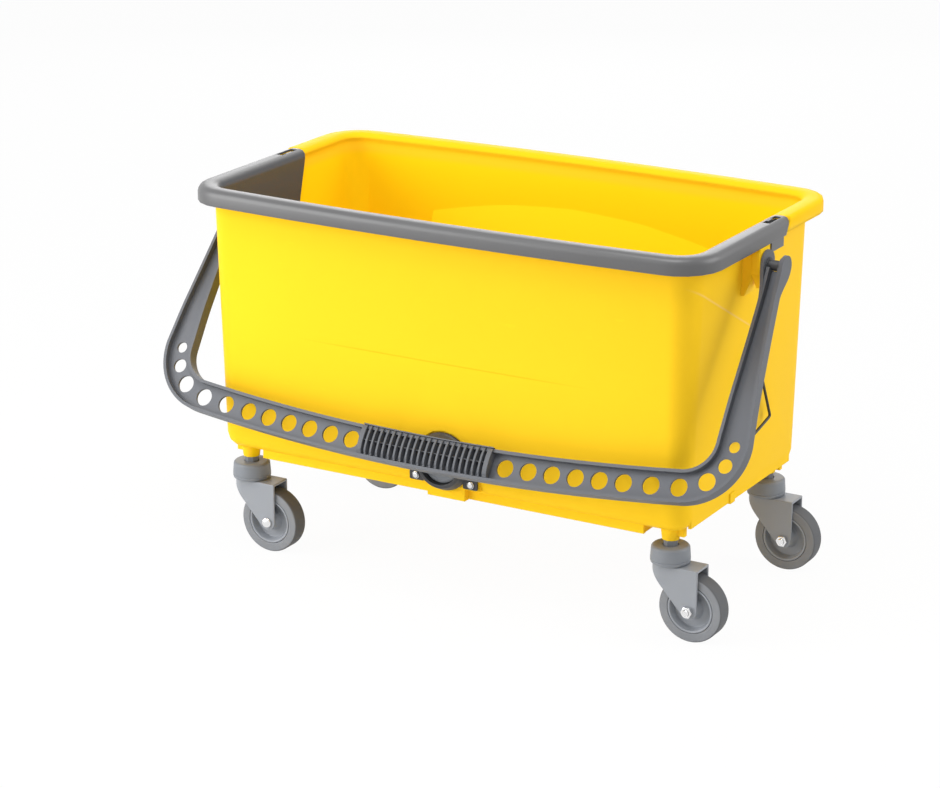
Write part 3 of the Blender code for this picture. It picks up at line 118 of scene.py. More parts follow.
# Set-back of the arms, growing between two heights
SETBACK_FRONT = 0.0080
SETBACK_BACK = 0.0080
SETBACK_WEB = 0.0100
SETBACK_HIGH_Z = -0.020
SETBACK_LOW_Z = -0.135

# Ears and pins at the pivot
EAR_FOOT = 0.040
EAR_STEPS = 14
INNER_EAR = {"side": -1, "radius": 0.0122, "rise": 0.0018, "splay": 0.0047}
OUTER_EAR = {"side": 1, "radius": 0.0107, "rise": 0.0000, "splay": 0.0026}
EAR_BOSS = 0.0080
EAR_BOSS_LENGTH = 0.0024
PIN_RADIUS = 0.0050
PIN_SHOULDER = 0.0072

# Pivot brackets of the tub and the bosses on them
BRACKET_FACE_X = 0.2695
BRACKET_HALF = 0.0100
BOSS_FACE_X = 0.2782
BOSS_TOP_Z = 0.3565
BOSS_SHOULDER_Z = 0.3330
BOSS_TIP_Z = 0.3160
BOSS_TIP_Y = 0.0030

# Snap slots in the rim
SLOT_X = 0.2665
SLOT_WIDTH = 0.0075
SLOT_START_Y = 0.0065
SLOT_LENGTH = 0.0280
SLOT_FLOOR_Z = 0.3655

# Grip
GRIP_HALF_LENGTH = 0.0705
GRIP_FINS = 22
GRIP_FIN_THICK = 0.0022
GRIP_END_THICK = 0.0048
GRIP_OVER_TOP = 0.0157
GRIP_OVER_LOW = 0.0112
GRIP_CROWN = 0.0033
GRIP_CAP = 0.0013
GRIP_PLATE = 0.0018
GRIP_SPINE_RISE = 0.0010
GRIP_SPINE_THICK = 0.0008

# Casters, about the stem's axis and the axle
CASTER_TRAIL = 0.025
WHEEL_RADIUS = 0.03175
TYRE_HALF = 0.009
TREAD_RADIUS = 0.0306
TYRE_SHOULDER = 0.0012
TYRE_LIP = 0.0006
TYRE_LIP_WIDTH = 0.0007
TYRE_INNER = 0.02295
HUB_RIM = 0.02265
HUB_BORE = 0.0048
HUB_BOSS_HALF = 0.0097
HUB_BOSS_WALL = 0.0024
HUB_BOSS_FOOT = 0.0060
HUB_RIM_FOOT = 0.0040
HUB_RIM_WALL = 0.0020
HUB_DISH = 0.16
FORK_HALF = 0.0125
FORK_WALL = 0.0025
FORK_TOP_Z = 0.0720
FORK_TIP = 0.0086
FORK_BACK_X = -0.0044
FORK_LEAD_Z = 0.066
STEM_BORE = 0.0048
COLLAR_RADIUS = 0.0189
COLLAR_TOP_Z = 0.0893
COLLAR_WALL = 0.0028
COLLAR_BEAD = 0.0036
COLLAR_GROOVE = 0.0005
COLLAR_BORE = 0.0073
AXLE_RADIUS = 0.0030
BOLT_HEAD = 0.0053
BOLT_HEAD_HEIGHT = 0.0040
BOLT_BRIM = 0.0009
BOLT_CHAMFER = 0.0005
BOLT_PAST_NUT = 0.0012
NUT_ACROSS_FLATS = 0.0100
NUT_HEIGHT = 0.0045

# Drain
DRAIN_FLANGE = 0.0285
DRAIN_RING_FRONT = 0.0245
DRAIN_BORE = 0.0168
DRAIN_RECESS = 0.0205
DRAIN_PLATE = 0.0034
DRAIN_RING_HEIGHT = 0.0083
DRAIN_LIP = 0.0010
DRAIN_TAPER = 0.0012
DRAIN_BACK_CUT = 0.0018
PLUG_HEAD_HEIGHT = 0.0030
PLUG_DISH = 0.0006
PLUG_RIM_INNER = 0.0040
PLUG_RIM_FACE = 0.0032
PLUG_LIP = 0.0008
PLUG_CHAMFER = 0.0010
PLUG_SHANK_LENGTH = 0.0160
PLUG_TIP_INSET = 0.0015
PLUG_BAR_HALF = 0.0160
PLUG_BAR_WIDTH = 0.0060
PLUG_BAR_HEIGHT = 0.0032
EAR_SCREW_X = 0.0300
EAR_SCREW_DROP = 0.0185
EAR_STRIP_ROOT = 0.0215
EAR_STRIP_HALF = 0.0370
EAR_STRIP_HEIGHT = 0.0095
EAR_THICK = 0.0020
SCREW_HEAD = 0.0038
SCREW_RADIUS = 0.0019
SCREW_HEAD_HEIGHT = 0.0017
SCREW_LENGTH = 0.0055
SCREW_TURN = 0.5
CROSS_HALF_LENGTH = 0.0030
CROSS_HALF_WIDTH = 0.0009
CROSS_DEPTH = 0.0014
GAP = 0.0003
DRAIN_SEAT = GAP + DRAIN_PLATE
SCREW_SEAT = EAR_THICK + 2 * GAP
SCREW_CROWN = SCREW_SEAT + SCREW_HEAD_HEIGHT


# Node helpers

def add_node(tree, kind, **inputs):
    """Add a shader node and set its plain inputs by name."""
    node = tree.nodes.new(kind)
    for name, value in inputs.items():
        node.inputs[name.replace("_", " ")].default_value = value
    return node


def plug(tree, target, value):
    """Give a socket a link or a plain value."""
    if isinstance(value, bpy.types.NodeSocket):
        tree.links.new(value, target)
    else:
        target.default_value = value


def calc(tree, operation, first, second=0.0, clamp=False):
    """One math node of two values."""
    node = tree.nodes.new("ShaderNodeMath")
    node.operation = operation
    node.use_clamp = clamp
    plug(tree, node.inputs[0], first)
    plug(tree, node.inputs[1], second)
    return node.outputs[0]


def ramp(tree, value, low, high):
    """Smooth step of a value from 0 at low to 1 at high."""
    node = tree.nodes.new("ShaderNodeMapRange")
    node.interpolation_type = "SMOOTHSTEP"
    plug(tree, node.inputs["Value"], value)
    node.inputs["From Min"].default_value = low
    node.inputs["From Max"].default_value = high
    return node.outputs["Result"]


def blend(tree, mask, first, second):
    """Mix two colours by a mask."""
    node = tree.nodes.new("ShaderNodeMix")
    node.data_type = "RGBA"
    plug(tree, node.inputs[0], mask)
    plug(tree, node.inputs[6], first)
    plug(tree, node.inputs[7], second)
    return node.outputs[2]


def rgba(red, green, blue):
    """Colour socket value."""
    return (red, green, blue, 1.0)


def object_axes(tree):
    """The three coordinates of a point in its piece's own axes."""
    place = tree.nodes.new("ShaderNodeSeparateXYZ")
    tree.links.new(tree.nodes.new("ShaderNodeTexCoord").outputs["Object"], place.inputs[0])
    return tuple(place.outputs)


def new_group(name, inputs, outputs):
    """Shader node group with named float sockets; returns the tree and its two end nodes."""
    tree = bpy.data.node_groups.new(name, "ShaderNodeTree")
    for label, value in inputs:
        tree.interface.new_socket(label, in_out="INPUT", socket_type="NodeSocketFloat").default_value = value
    for label in outputs:
        tree.interface.new_socket(label, in_out="OUTPUT", socket_type="NodeSocketFloat")
    return tree, tree.nodes.new("NodeGroupInput"), tree.nodes.new("NodeGroupOutput")


def moulded_grain():
    """Fine spark-eroded grain, slow colour drift and faint scuffs of a moulded surface."""
    scales = [("Grain Scale", 900.0), ("Drift Scale", 9.0), ("Scuff Scale", 30.0)]
    tree, start, end = new_group("moulded_grain", scales, ["Grain", "Drift", "Scuff"])
    place = tree.nodes.new("ShaderNodeTexCoord").outputs["Object"]
    for label, source, detail in (("Grain", "Grain Scale", 2.0), ("Drift", "Drift Scale", 3.0)):
        noise = add_node(tree, "ShaderNodeTexNoise", Detail=detail, Roughness=0.55)
        tree.links.new(place, noise.inputs["Vector"])
        tree.links.new(start.outputs[source], noise.inputs["Scale"])
        tree.links.new(noise.outputs["Fac"], end.inputs[label])
    stretch = tree.nodes.new("ShaderNodeMapping")
    stretch.inputs["Rotation"].default_value = (0.3, 0.7, 0.4)
    stretch.inputs["Scale"].default_value = (1.0, 14.0, 6.0)
    tree.links.new(place, stretch.inputs["Vector"])
    scuff = add_node(tree, "ShaderNodeTexNoise", Detail=4.0, Roughness=0.7)
    tree.links.new(stretch.outputs["Vector"], scuff.inputs["Vector"])
    tree.links.new(start.outputs["Scuff Scale"], scuff.inputs["Scale"])
    tree.links.new(ramp(tree, scuff.outputs["Fac"], 0.62, 0.74), end.inputs["Scuff"])
    return tree


def edge_lightening():
    """Mask of edges: where a rounded normal leaves the flat one, broken up by noise."""
    tree, start, end = new_group("edge_lightening", [("Edge Width", 0.0012), ("Break Scale", 120.0)], ["Edge"])
    soft = tree.nodes.new("ShaderNodeBevel")
    soft.samples = 4
    tree.links.new(start.outputs["Edge Width"], soft.inputs["Radius"])
    flat = tree.nodes.new("ShaderNodeNewGeometry")
    meet = tree.nodes.new("ShaderNodeVectorMath")
    meet.operation = "DOT_PRODUCT"
    tree.links.new(soft.outputs["Normal"], meet.inputs[0])
    tree.links.new(flat.outputs["Normal"], meet.inputs[1])
    edge = ramp(tree, calc(tree, "SUBTRACT", 1.0, meet.outputs["Value"]), 0.03, 0.22)
    noise = add_node(tree, "ShaderNodeTexNoise", Detail=3.0)
    tree.links.new(start.outputs["Break Scale"], noise.inputs["Scale"])
    tree.links.new(tree.nodes.new("ShaderNodeTexCoord").outputs["Object"], noise.inputs["Vector"])
    broken = ramp(tree, noise.outputs["Fac"], 0.35, 0.65)
    tree.links.new(calc(tree, "MULTIPLY", edge, broken), end.inputs["Edge"])
    return tree


GRAIN = moulded_grain()
EDGE_LIGHTENING_GROUP = edge_lightening()


def place_group(tree, group, **values):
    """Place a node group with its own values."""
    node = tree.nodes.new("ShaderNodeGroup")
    node.node_tree = group
    for name, value in values.items():
        node.inputs[name.replace("_", " ")].default_value = value
    return node


def start_finish(name, roughness, specular=0.5, metallic=0.0):
    """Material with its Principled shader; constants sit on the shader's own sockets."""
    material = bpy.data.materials.new(name)
    material.use_nodes = True
    tree = material.node_tree
    shader = tree.nodes["Principled BSDF"]
    shader.inputs["Roughness"].default_value = roughness
    shader.inputs["Specular IOR Level"].default_value = specular
    shader.inputs["Metallic"].default_value = metallic
    return material, tree, shader


def rim_softness(tree, edge):
    """Shading radius of the tub's edges, wider where the rolled rim runs into the wall."""
    _, _, z = object_axes(tree)
    high = ramp(tree, z, RIM_TOP_Z - 0.022, RIM_TOP_Z - 0.016)
    return calc(tree, "ADD", calc(tree, "MULTIPLY", high, 0.0060), edge)


def bumped(tree, shader, height, strength, distance, edge=0.0, soft_rim=False):
    """Bump on the shader's normal, over edges rounded in shading."""
    bump = add_node(tree, "ShaderNodeBump", Strength=strength, Distance=distance)
    tree.links.new(height, bump.inputs["Height"])
    if edge:
        soft = add_node(tree, "ShaderNodeBevel", Radius=edge)
        soft.samples = 8
        if soft_rim:
            tree.links.new(rim_softness(tree, edge), soft.inputs["Radius"])
        tree.links.new(soft.outputs["Normal"], bump.inputs["Normal"])
    tree.links.new(bump.outputs["Normal"], shader.inputs["Normal"])


def shade(colour, factor):
    """Colour scaled in brightness."""
    return tuple(min(value * factor, 1.0) for value in colour[:3]) + (1.0,)


def moulded_plastic(name, colour, roughness, specular, drift=0.05, grain_scale=900.0, edge=0.0006, tint=None):
    """Moulded plastic: drifting colour, fine grain, faint scuffs and lighter edges."""
    material, tree, shader = start_finish(name, roughness, specular)
    grain = place_group(tree, GRAIN, Grain_Scale=grain_scale)
    edge_band = place_group(tree, EDGE_LIGHTENING_GROUP, Edge_Width=edge * 2)
    base = blend(tree, grain.outputs["Drift"], shade(colour, 1 - drift), shade(colour, 1 + drift))
    base = blend(tree, calc(tree, "MULTIPLY", grain.outputs["Scuff"], 0.10), base, shade(colour, 1.35))
    # edges drawn lighter in colour along the edge mask
    base = blend(tree, calc(tree, "MULTIPLY", edge_band.outputs["Edge"], 0.25), base, shade(colour, 1.5))
    height = grain.outputs["Grain"]
    if tint:
        base, height = tint(tree, base, height)
    tree.links.new(base, shader.inputs["Base Color"])
    rough = calc(tree, "MULTIPLY_ADD", grain.outputs["Drift"], 0.16)
    rough.node.inputs[2].default_value = roughness - 0.08
    rough = calc(tree, "ADD", rough, calc(tree, "MULTIPLY", grain.outputs["Scuff"], 0.06))
    tree.links.new(rough, shader.inputs["Roughness"])
    bumped(tree, shader, height, 0.12, 0.0004, edge, soft_rim=tint is tub_marks_and_painted_light)
    return material


def line_mask(tree, across, along, line, half_width, start, end, fade):
    """Mask of a thin straight mark: near a height across it, between two places along it."""
    near = calc(tree, "ABSOLUTE", calc(tree, "SUBTRACT", across, line))
    thin = calc(tree, "SUBTRACT", 1.0, ramp(tree, near, 0.0, half_width))
    inside = calc(tree, "MULTIPLY", ramp(tree, along, start, start + fade),
                  calc(tree, "SUBTRACT", 1.0, ramp(tree, along, end - fade, end)))
    return calc(tree, "MULTIPLY", thin, inside)


def inner_faces(tree):
    """Mask of the walls that look towards the middle of the tub."""
    away = tree.nodes.new("ShaderNodeVectorMath")
    away.operation = "MULTIPLY_ADD"
    tree.links.new(tree.nodes.new("ShaderNodeTexCoord").outputs["Object"], away.inputs[0])
    away.inputs[1].default_value = (1.0, 1.0, 0.0)
    away.inputs[2].default_value = (0.0, -TUB_Y, 0.0)
    facing = tree.nodes.new("ShaderNodeVectorMath")
    facing.operation = "DOT_PRODUCT"
    tree.links.new(away.outputs[0], facing.inputs[0])
    tree.links.new(tree.nodes.new("ShaderNodeNewGeometry").outputs["Normal"], facing.inputs[1])
    return ramp(tree, facing.outputs["Value"], -0.02, -0.06)


def tub_marks_and_painted_light(tree, base, height):
    """Fold and witness line of the tub, with painted light: a bump groove with painted shade along the fold,
    a bump bead with a painted highlight along the witness line, painted light in a clearer yellow on the
    inner walls and painted shade in a deeper yellow on the rolled rim.
    """
    x, y, z = object_axes(tree)
    depth = calc(tree, "SUBTRACT", y, TUB_Y)
    front = ramp(tree, depth, FRONT_WALL_Y + 0.010, FRONT_WALL_Y)
    fold = calc(tree, "MULTIPLY", line_mask(tree, z, x, **FOLD), front)
    right = ramp(tree, x, RIGHT_WALL_X - 0.006, RIGHT_WALL_X)
    drop = calc(tree, "MULTIPLY", calc(tree, "SUBTRACT", depth, WITNESS_FOOT_Y), WITNESS_SLOPE)
    slanted = calc(tree, "ADD", z, drop)
    witness = calc(tree, "MULTIPLY", line_mask(tree, slanted, depth, **WITNESS), right)
    # painted light: the inner walls below the rim get the clearer yellow, as if more light fell on them
    inner = calc(tree, "MULTIPLY", inner_faces(tree), ramp(tree, z, RIM_TOP_Z - 0.012, RIM_TOP_Z - 0.020))
    base = blend(tree, calc(tree, "MULTIPLY", inner, 0.85), base, rgba(*INNER_PAINTED_LIGHT_YELLOW))
    # painted shade: the rolled rim top is darkened to a deeper yellow
    rolled = ramp(tree, z, RIM_TOP_Z - 0.012, RIM_TOP_Z - 0.004)
    base = blend(tree, calc(tree, "MULTIPLY", rolled, 0.85), base, rgba(*RIM_PAINTED_SHADE_YELLOW))
    # painted shade in the fold's crease; the groove itself is the bump below
    base = blend(tree, calc(tree, "MULTIPLY", fold, 0.55), base, rgba(*FOLD_PAINTED_SHADE_YELLOW))
    # painted highlight along the witness bead; the bead itself is the bump below
    base = blend(tree, calc(tree, "MULTIPLY", witness, 0.80), base, rgba(*WITNESS_PAINTED_HIGHLIGHT_YELLOW))
    height = calc(tree, "SUBTRACT", height, calc(tree, "MULTIPLY", fold, 2.0))
    height = calc(tree, "ADD", height, calc(tree, "MULTIPLY", witness, 3.0))
    return base, height


def cover_lining_painted_shade(tree, base, height):
    """The cover's inner lining in painted shade: a darker grey, neutral near the top edge and tinted blue
    lower down to cancel the yellow light bounced from the tub.
    """
    x, y, z = object_axes(tree)
    ends = ramp(tree, calc(tree, "ABSOLUTE", x), TUB_HALF_LENGTH + 0.0005, TUB_HALF_LENGTH - 0.0025)
    front = ramp(tree, y, TUB_Y - TUB_HALF_WIDTH - 0.0005, TUB_Y - TUB_HALF_WIDTH + 0.0025)
    low = ramp(tree, z, COVER_TOP_Z - 0.0003, COVER_TOP_Z - 0.0040)
    inside = calc(tree, "MULTIPLY", calc(tree, "MULTIPLY", ends, front), low)
    # painted shade: darker grey inside the cover, tinted blue lower down against the yellow bounce light
    lining = blend(tree, ramp(tree, z, COVER_TOP_Z - 0.006, COVER_TOP_Z - 0.024), rgba(*LINING_TOP_PAINTED_SHADE),
                   rgba(*LINING_LOW_PAINTED_SHADE))
    return blend(tree, inside, base, lining), height


def axis_distance(tree):
    """Distance from a turned piece's own axis, and the height along it."""
    x, y, z = object_axes(tree)
    square = calc(tree, "ADD", calc(tree, "MULTIPLY", x, x), calc(tree, "MULTIPLY", y, y))
    return calc(tree, "SQRT", square), z


def recess_mask(tree, low, high, radius):
    """Mask of a sunk drive recess: between two heights and within a radius of the screw's own axis."""
    out, z = axis_distance(tree)
    mask = calc(tree, "LESS_THAN", out, radius)
    mask = calc(tree, "MULTIPLY", mask, calc(tree, "LESS_THAN", z, high))
    return calc(tree, "MULTIPLY", mask, calc(tree, "GREATER_THAN", z, low))


def plated_steel(name, colour, roughness, recess=None):
    """Bright plated steel with fine turning marks and slight dulling; a drive recess is painted near black as
    shade.
    """
    material, tree, shader = start_finish(name, roughness, metallic=1.0)
    grain = place_group(tree, GRAIN, Grain_Scale=2500.0, Drift_Scale=60.0, Scuff_Scale=200.0)
    base = blend(tree, grain.outputs["Drift"], shade(colour, 0.82), shade(colour, 1.05))
    if recess:
        # painted shade: the drive recess is coloured near black
        base = blend(tree, recess_mask(tree, *recess), base, rgba(*RECESS_PAINTED_SHADE))
    tree.links.new(base, shader.inputs["Base Color"])
    rough = calc(tree, "ADD", calc(tree, "MULTIPLY", grain.outputs["Scuff"], 0.25), roughness)
    tree.links.new(rough, shader.inputs["Roughness"])
    bumped(tree, shader, grain.outputs["Grain"], 0.05, 0.0002)
    return material


def tyre_rubber(name, colour, tread=0.0):
    """Grey non-marking rubber with a dusty, finely pitted skin; beyond a radius the tread is drawn darker."""
    material, tree, shader = start_finish(name, 0.7, 0.3)
    grain = place_group(tree, GRAIN, Grain_Scale=1400.0, Drift_Scale=40.0, Scuff_Scale=90.0)
    base = blend(tree, grain.outputs["Drift"], shade(colour, 0.88), shade(colour, 1.12))
    base = blend(tree, calc(tree, "MULTIPLY", grain.outputs["Scuff"], 0.25), base, shade(colour, 1.4))
    if tread:
        # beyond the tread radius the rubber is drawn at half brightness
        tread_darkening = ramp(tree, axis_distance(tree)[0], tread, tread + 0.0008)
        base = blend(tree, tread_darkening, base, shade(colour, 0.50))
    tree.links.new(base, shader.inputs["Base Color"])
    rough = calc(tree, "ADD", calc(tree, "MULTIPLY", grain.outputs["Drift"], 0.2), 0.58)
    tree.links.new(rough, shader.inputs["Roughness"])
    bumped(tree, shader, grain.outputs["Grain"], 0.25, 0.0003)
    return material


YELLOW = moulded_plastic("yellow_tub_plastic", TUB_YELLOW, 0.38, 0.016, drift=0.012, edge=0.0012,
                         tint=tub_marks_and_painted_light)
COVER = moulded_plastic("grey_cover_plastic", COVER_GREY, 0.36, 0.50, edge=0.0006, tint=cover_lining_painted_shade)
HANDLE = moulded_plastic("grey_handle_plastic", (0.110, 0.116, 0.130), 0.46, 0.28, drift=0.06, edge=0.0)
DRAIN = moulded_plastic("dark_drain_plastic", (0.045, 0.045, 0.047), 0.44, 0.40, edge=0.0003)
CASTER = moulded_plastic("grey_caster_plastic", (0.285, 0.302, 0.330), 0.46, 0.45, edge=0.0004)
COLLAR = moulded_plastic("grey_collar_plastic", (0.210, 0.226, 0.250), 0.46, 0.45, edge=0.0004)
STEM = moulded_plastic("grey_stem_plastic", (0.21, 0.22, 0.24), 0.42, 0.4, edge=0.0003)
PIN = moulded_plastic("dark_pin_plastic", (0.055, 0.056, 0.060), 0.5, 0.4, edge=0.0003)
TYRE = tyre_rubber("grey_tyre_rubber", (0.230, 0.239, 0.255), TREAD_RADIUS)
STEEL = plated_steel("bright_plated_steel", (0.86, 0.86, 0.86), 0.20)
SCREW = plated_steel("plated_screw_steel", (0.80, 0.80, 0.80), 0.28,
                     (SCREW_CROWN - 0.0016, SCREW_CROWN - 0.0003, 0.0031))
SEAL = tyre_rubber("black_seal_rubber", (0.02, 0.02, 0.02))
WIRE = moulded_plastic("black_coated_wire", (0.012, 0.012, 0.012), 0.40, 0.5, edge=0.0)


# Mesh helpers

EAR_PLANE = Matrix(((0, 0, 1, 0), (1, 0, 0, 0), (0, 1, 0, 0), (0, 0, 0, 1)))


def soft_profile(points, radius, steps=3, closed=True):
    """Round the corners of an outline by a quadratic bend."""
    out = []
    count = len(points)
    for i in range(count):
        here = Vector(points[i])
        if not closed and i in (0, count - 1):
            out.append(tuple(here))
            continue
        before, after = Vector(points[i - 1]) - here, Vector(points[(i + 1) % count]) - here
        first = before.normalized() * min(radius, before.length * 0.45)
        second = after.normalized() * min(radius, after.length * 0.45)
        for k in range(steps + 1):
            t = k / steps
            out.append(tuple(here + first * (1 - t) ** 2 + second * t ** 2))
    return out


def turned(profile, steps=96, closed=True, bm=None):
    """Mesh of a profile of (radius, height) points turned about Z."""
    bm = bm or bmesh.new()
    rows = []
    for k in range(steps):
        a = 2 * math.pi * k / steps
        rows.append([bm.verts.new((r * math.cos(a), r * math.sin(a), h)) for r, h in profile])
    count = len(profile)
    for k in range(steps):
        row, following = rows[k], rows[(k + 1) % steps]
        for i in range(count if closed else count - 1):
            j = (i + 1) % count
            bm.faces.new((row[i], row[j], following[j], following[i]))
    bmesh.ops.remove_doubles(bm, verts=bm.verts, dist=0.000002)
    return bm


def loft(rows, bm=None):
    """Skin over rows of points of one count, closed round and capped at both ends."""
    bm = bm or bmesh.new()
    rings = [[bm.verts.new(point) for point in row] for row in rows]
    count = len(rings[0])
    for ring, following in zip(rings, rings[1:]):
        for i in range(count):
            j = (i + 1) % count
            bm.faces.new((ring[i], ring[j], following[j], following[i]))
    bm.faces.new(list(reversed(rings[0])))
    bm.faces.new(rings[-1])
    return bm


def prism(outline, depth, matrix=Matrix.Identity(4), bm=None):
    """Flat outline with a depth, centred on its own plane."""
    return loft([[matrix @ Vector((x, y, z)) for x, y in outline] for z in (-depth / 2, depth / 2)], bm)


def box_mesh(low, high, bm=None):
    """Box between two corners."""
    bm = bm or bmesh.new()
    low, high = Vector(low), Vector(high)
    matrix = Matrix.Translation((low + high) / 2) @ Matrix.Diagonal((*(high - low), 1.0))
    bmesh.ops.create_cube(bm, size=1.0, matrix=matrix)
    return bm


def rod_mesh(start, end, radius, steps=48, bm=None):
    """Round bar between two points."""
    bm = bm or bmesh.new()
    start, end = Vector(start), Vector(end)
    turn = (end - start).to_track_quat("Z", "Y").to_matrix().to_4x4()
    bmesh.ops.create_cone(bm, cap_ends=True, segments=steps, radius1=radius, radius2=radius,
                          depth=(end - start).length, matrix=Matrix.Translation((start + end) / 2) @ turn)
    return bm


def as_mesh(name, bm):
    """Mesh of a bmesh with its normals set outwards."""
    bmesh.ops.recalc_face_normals(bm, faces=bm.faces)
    mesh = bpy.data.meshes.new(name)
    bm.to_mesh(mesh)
    bm.free()
    return mesh


def loose_object(name, bm):
    """Object of a mesh that is only used on the way to a piece."""
    obj = bpy.data.objects.new(name, as_mesh(name, bm))
    bpy.context.scene.collection.objects.link(obj)
    return obj


def carved(name, body, *steps):
    """Mesh of a solid after a run of (operation, tool mesh) Booleans."""
    target = loose_object(name, body)
    tools = []
    for i, (operation, tool) in enumerate(steps):
        tools.append(loose_object(f"{name}_tool_{i}", tool))
        cut = target.modifiers.new(operation, "BOOLEAN")
        cut.operation = operation
        cut.solver = "EXACT"
        cut.use_self = operation == "UNION"
        cut.object = tools[-1]
    bpy.context.view_layer.update()
    graph = bpy.context.evaluated_depsgraph_get()
    mesh = bpy.data.meshes.new_from_object(target.evaluated_get(graph))
    clean = bmesh.new()
    clean.from_mesh(mesh)
    bmesh.ops.remove_doubles(clean, verts=clean.verts, dist=0.00002)
    bmesh.ops.dissolve_degenerate(clean, edges=clean.edges, dist=0.00002)
    clean.to_mesh(mesh)
    clean.free()
    for spent in [target] + tools:
        bpy.data.objects.remove(spent, do_unlink=True)
    return mesh


def add_piece(name, mesh, material, body, place=Matrix.Identity(4), replaced=(), rounding=0.0,
              smooth=math.radians(35)):
    """Put a mesh in the scene as a piece that rides on a body and stands for CAD nodes."""
    mesh.materials.clear()
    mesh.materials.append(material)
    mesh.shade_smooth()
    mesh.set_sharp_from_angle(angle=smooth)
    piece = bpy.data.objects.new(name, mesh)
    bpy.context.scene.collection.objects.link(piece)
    piece.matrix_world = place
    if rounding:
        bevel = piece.modifiers.new("soft_edges", "BEVEL")
        bevel.width = rounding
        bevel.segments = 2
        bevel.limit_method = "ANGLE"
        bevel.angle_limit = smooth
        bevel.harden_normals = True
    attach(piece, body)
    if replaced:
        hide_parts(*replaced)
    return piece


# Smooth shading of the CAD nodes that stay

def smoothing_tree(angle=math.radians(33), arch_angle=math.radians(9)):
    """Modifier tree: weld corners, drop stored normals, shade smooth except crisp edges and the arch."""
    tree = bpy.data.node_groups.new("even_shading", "GeometryNodeTree")
    tree.interface.new_socket("Geometry", in_out="INPUT", socket_type="NodeSocketGeometry")
    tree.interface.new_socket("Geometry", in_out="OUTPUT", socket_type="NodeSocketGeometry")
    start, end = tree.nodes.new("NodeGroupInput"), tree.nodes.new("NodeGroupOutput")
    weld = tree.nodes.new("GeometryNodeMergeByDistance")
    weld.inputs["Distance"].default_value = 0.00001
    drop = tree.nodes.new("GeometryNodeRemoveAttribute")
    drop.inputs["Name"].default_value = "custom_normal"
    faces = tree.nodes.new("GeometryNodeSetShadeSmooth")
    edges = tree.nodes.new("GeometryNodeSetShadeSmooth")
    edges.domain = "EDGE"
    edges.inputs["Shade Smooth"].default_value = False
    turn = tree.nodes.new("GeometryNodeInputMeshEdgeAngle")
    place = tree.nodes.new("ShaderNodeSeparateXYZ")
    tree.links.new(tree.nodes.new("GeometryNodeInputPosition").outputs[0], place.inputs[0])
    x, y, z = place.outputs
    arch = calc(tree, "GREATER_THAN", y, TUB_Y + ARCH_FRONT_Y)
    for test in (calc(tree, "LESS_THAN", calc(tree, "ABSOLUTE", x), ARCH_HALF),
                 calc(tree, "LESS_THAN", z, ARCH_HIGH_Z), calc(tree, "GREATER_THAN", z, ARCH_LOW_Z)):
        arch = calc(tree, "MULTIPLY", arch, test)
    limit = calc(tree, "SUBTRACT", angle, calc(tree, "MULTIPLY", arch, angle - arch_angle))
    crisp = calc(tree, "GREATER_THAN", turn.outputs["Unsigned Angle"], limit)
    tree.links.new(crisp, edges.inputs["Selection"])
    chain = [start.outputs[0], weld, drop, faces, edges]
    for before, after in zip(chain, chain[1:]):
        source = before if isinstance(before, bpy.types.NodeSocket) else before.outputs[0]
        tree.links.new(source, after.inputs[0])
    tree.links.new(edges.outputs[0], end.inputs[0])
    return tree


EVEN_SHADING = smoothing_tree()


def dress_node(name, material):
    """Give a CAD node its finish and even shading."""
    node = NODES[name]
    for slot in node.material_slots:
        slot.material = material
    node.modifiers.new("even_shading", "NODES").node_group = EVEN_SHADING


# Handle

def handle_place():
    """Place of the handle's own plane in the frame."""
    return Matrix.Translation(JOINTS["handle_swing"]) @ Matrix.Rotation(-HANDLE_TILT, 4, "X")


def bar_z(x):
    """Height of the bar's centreline at a place along it."""
    return -(BAR_DROP - x ** 2 / (2 * BAR_RADIUS))


def bend_points(steps=28):
    """Bend from the right arm into the bar, as (x, z, half width)."""
    lean = math.pi / 2 + ARM_LEAN
    tilt = math.asin(TUB_HALF_LENGTH / BAR_RADIUS)
    points = []
    for i in range(steps + 1):
        a = lean + (tilt - lean) * i / steps
        x = TUB_HALF_LENGTH + BEND_RADIUS * (math.sin(a) - math.sin(tilt))
        z = bar_z(TUB_HALF_LENGTH) + BEND_RADIUS * (math.cos(tilt) - math.cos(a))
        points.append((x, z, BAR_HALF_WIDTH))
    return points


def arm_at(z):
    """Arm's middle and half width at a height, from the start of its bend up to the pivot."""
    low_x, low_z, _ = bend_points()[0]
    share = min(max(z / low_z, 0.0), 1.0)
    width = ARM_HALF_WIDTH + (BAR_HALF_WIDTH - ARM_HALF_WIDTH) * share ** ARM_TAPER
    return low_x - math.tan(ARM_LEAN) * (min(z, 0.0) - low_z), z, width


def handle_half(bar_steps=24, arm_steps=12):
    """Right half of the handle's centreline, pivot to middle, as (x, z, half width)."""
    bend = bend_points()
    low_z = bend[0][1]
    arm = [arm_at(ARM_TOP_Z + (low_z - ARM_TOP_Z) * i / arm_steps) for i in range(arm_steps)]
    places = [TUB_HALF_LENGTH * (1 - i / bar_steps) for i in range(1, bar_steps + 1)]
    return arm + bend + [(x, bar_z(x), BAR_HALF_WIDTH) for x in places]


def smooth_share(share):
    """Smooth step of a share from 0 to 1."""
    share = min(max(share, 0.0), 1.0)
    return share * share * (3 - 2 * share)


def channel_depths(z):
    """Front edge, web face and back edge of the channel at a height; the arms are set back near the pivot."""
    share = min(max((z - SETBACK_LOW_Z) / (SETBACK_HIGH_Z - SETBACK_LOW_Z), 0.0), 1.0)
    front = CHANNEL_BACK - CHANNEL_DEPTH
    web = front + WEB_RECESS
    return front + SETBACK_FRONT * share, web + SETBACK_WEB * share, CHANNEL_BACK + SETBACK_BACK * share


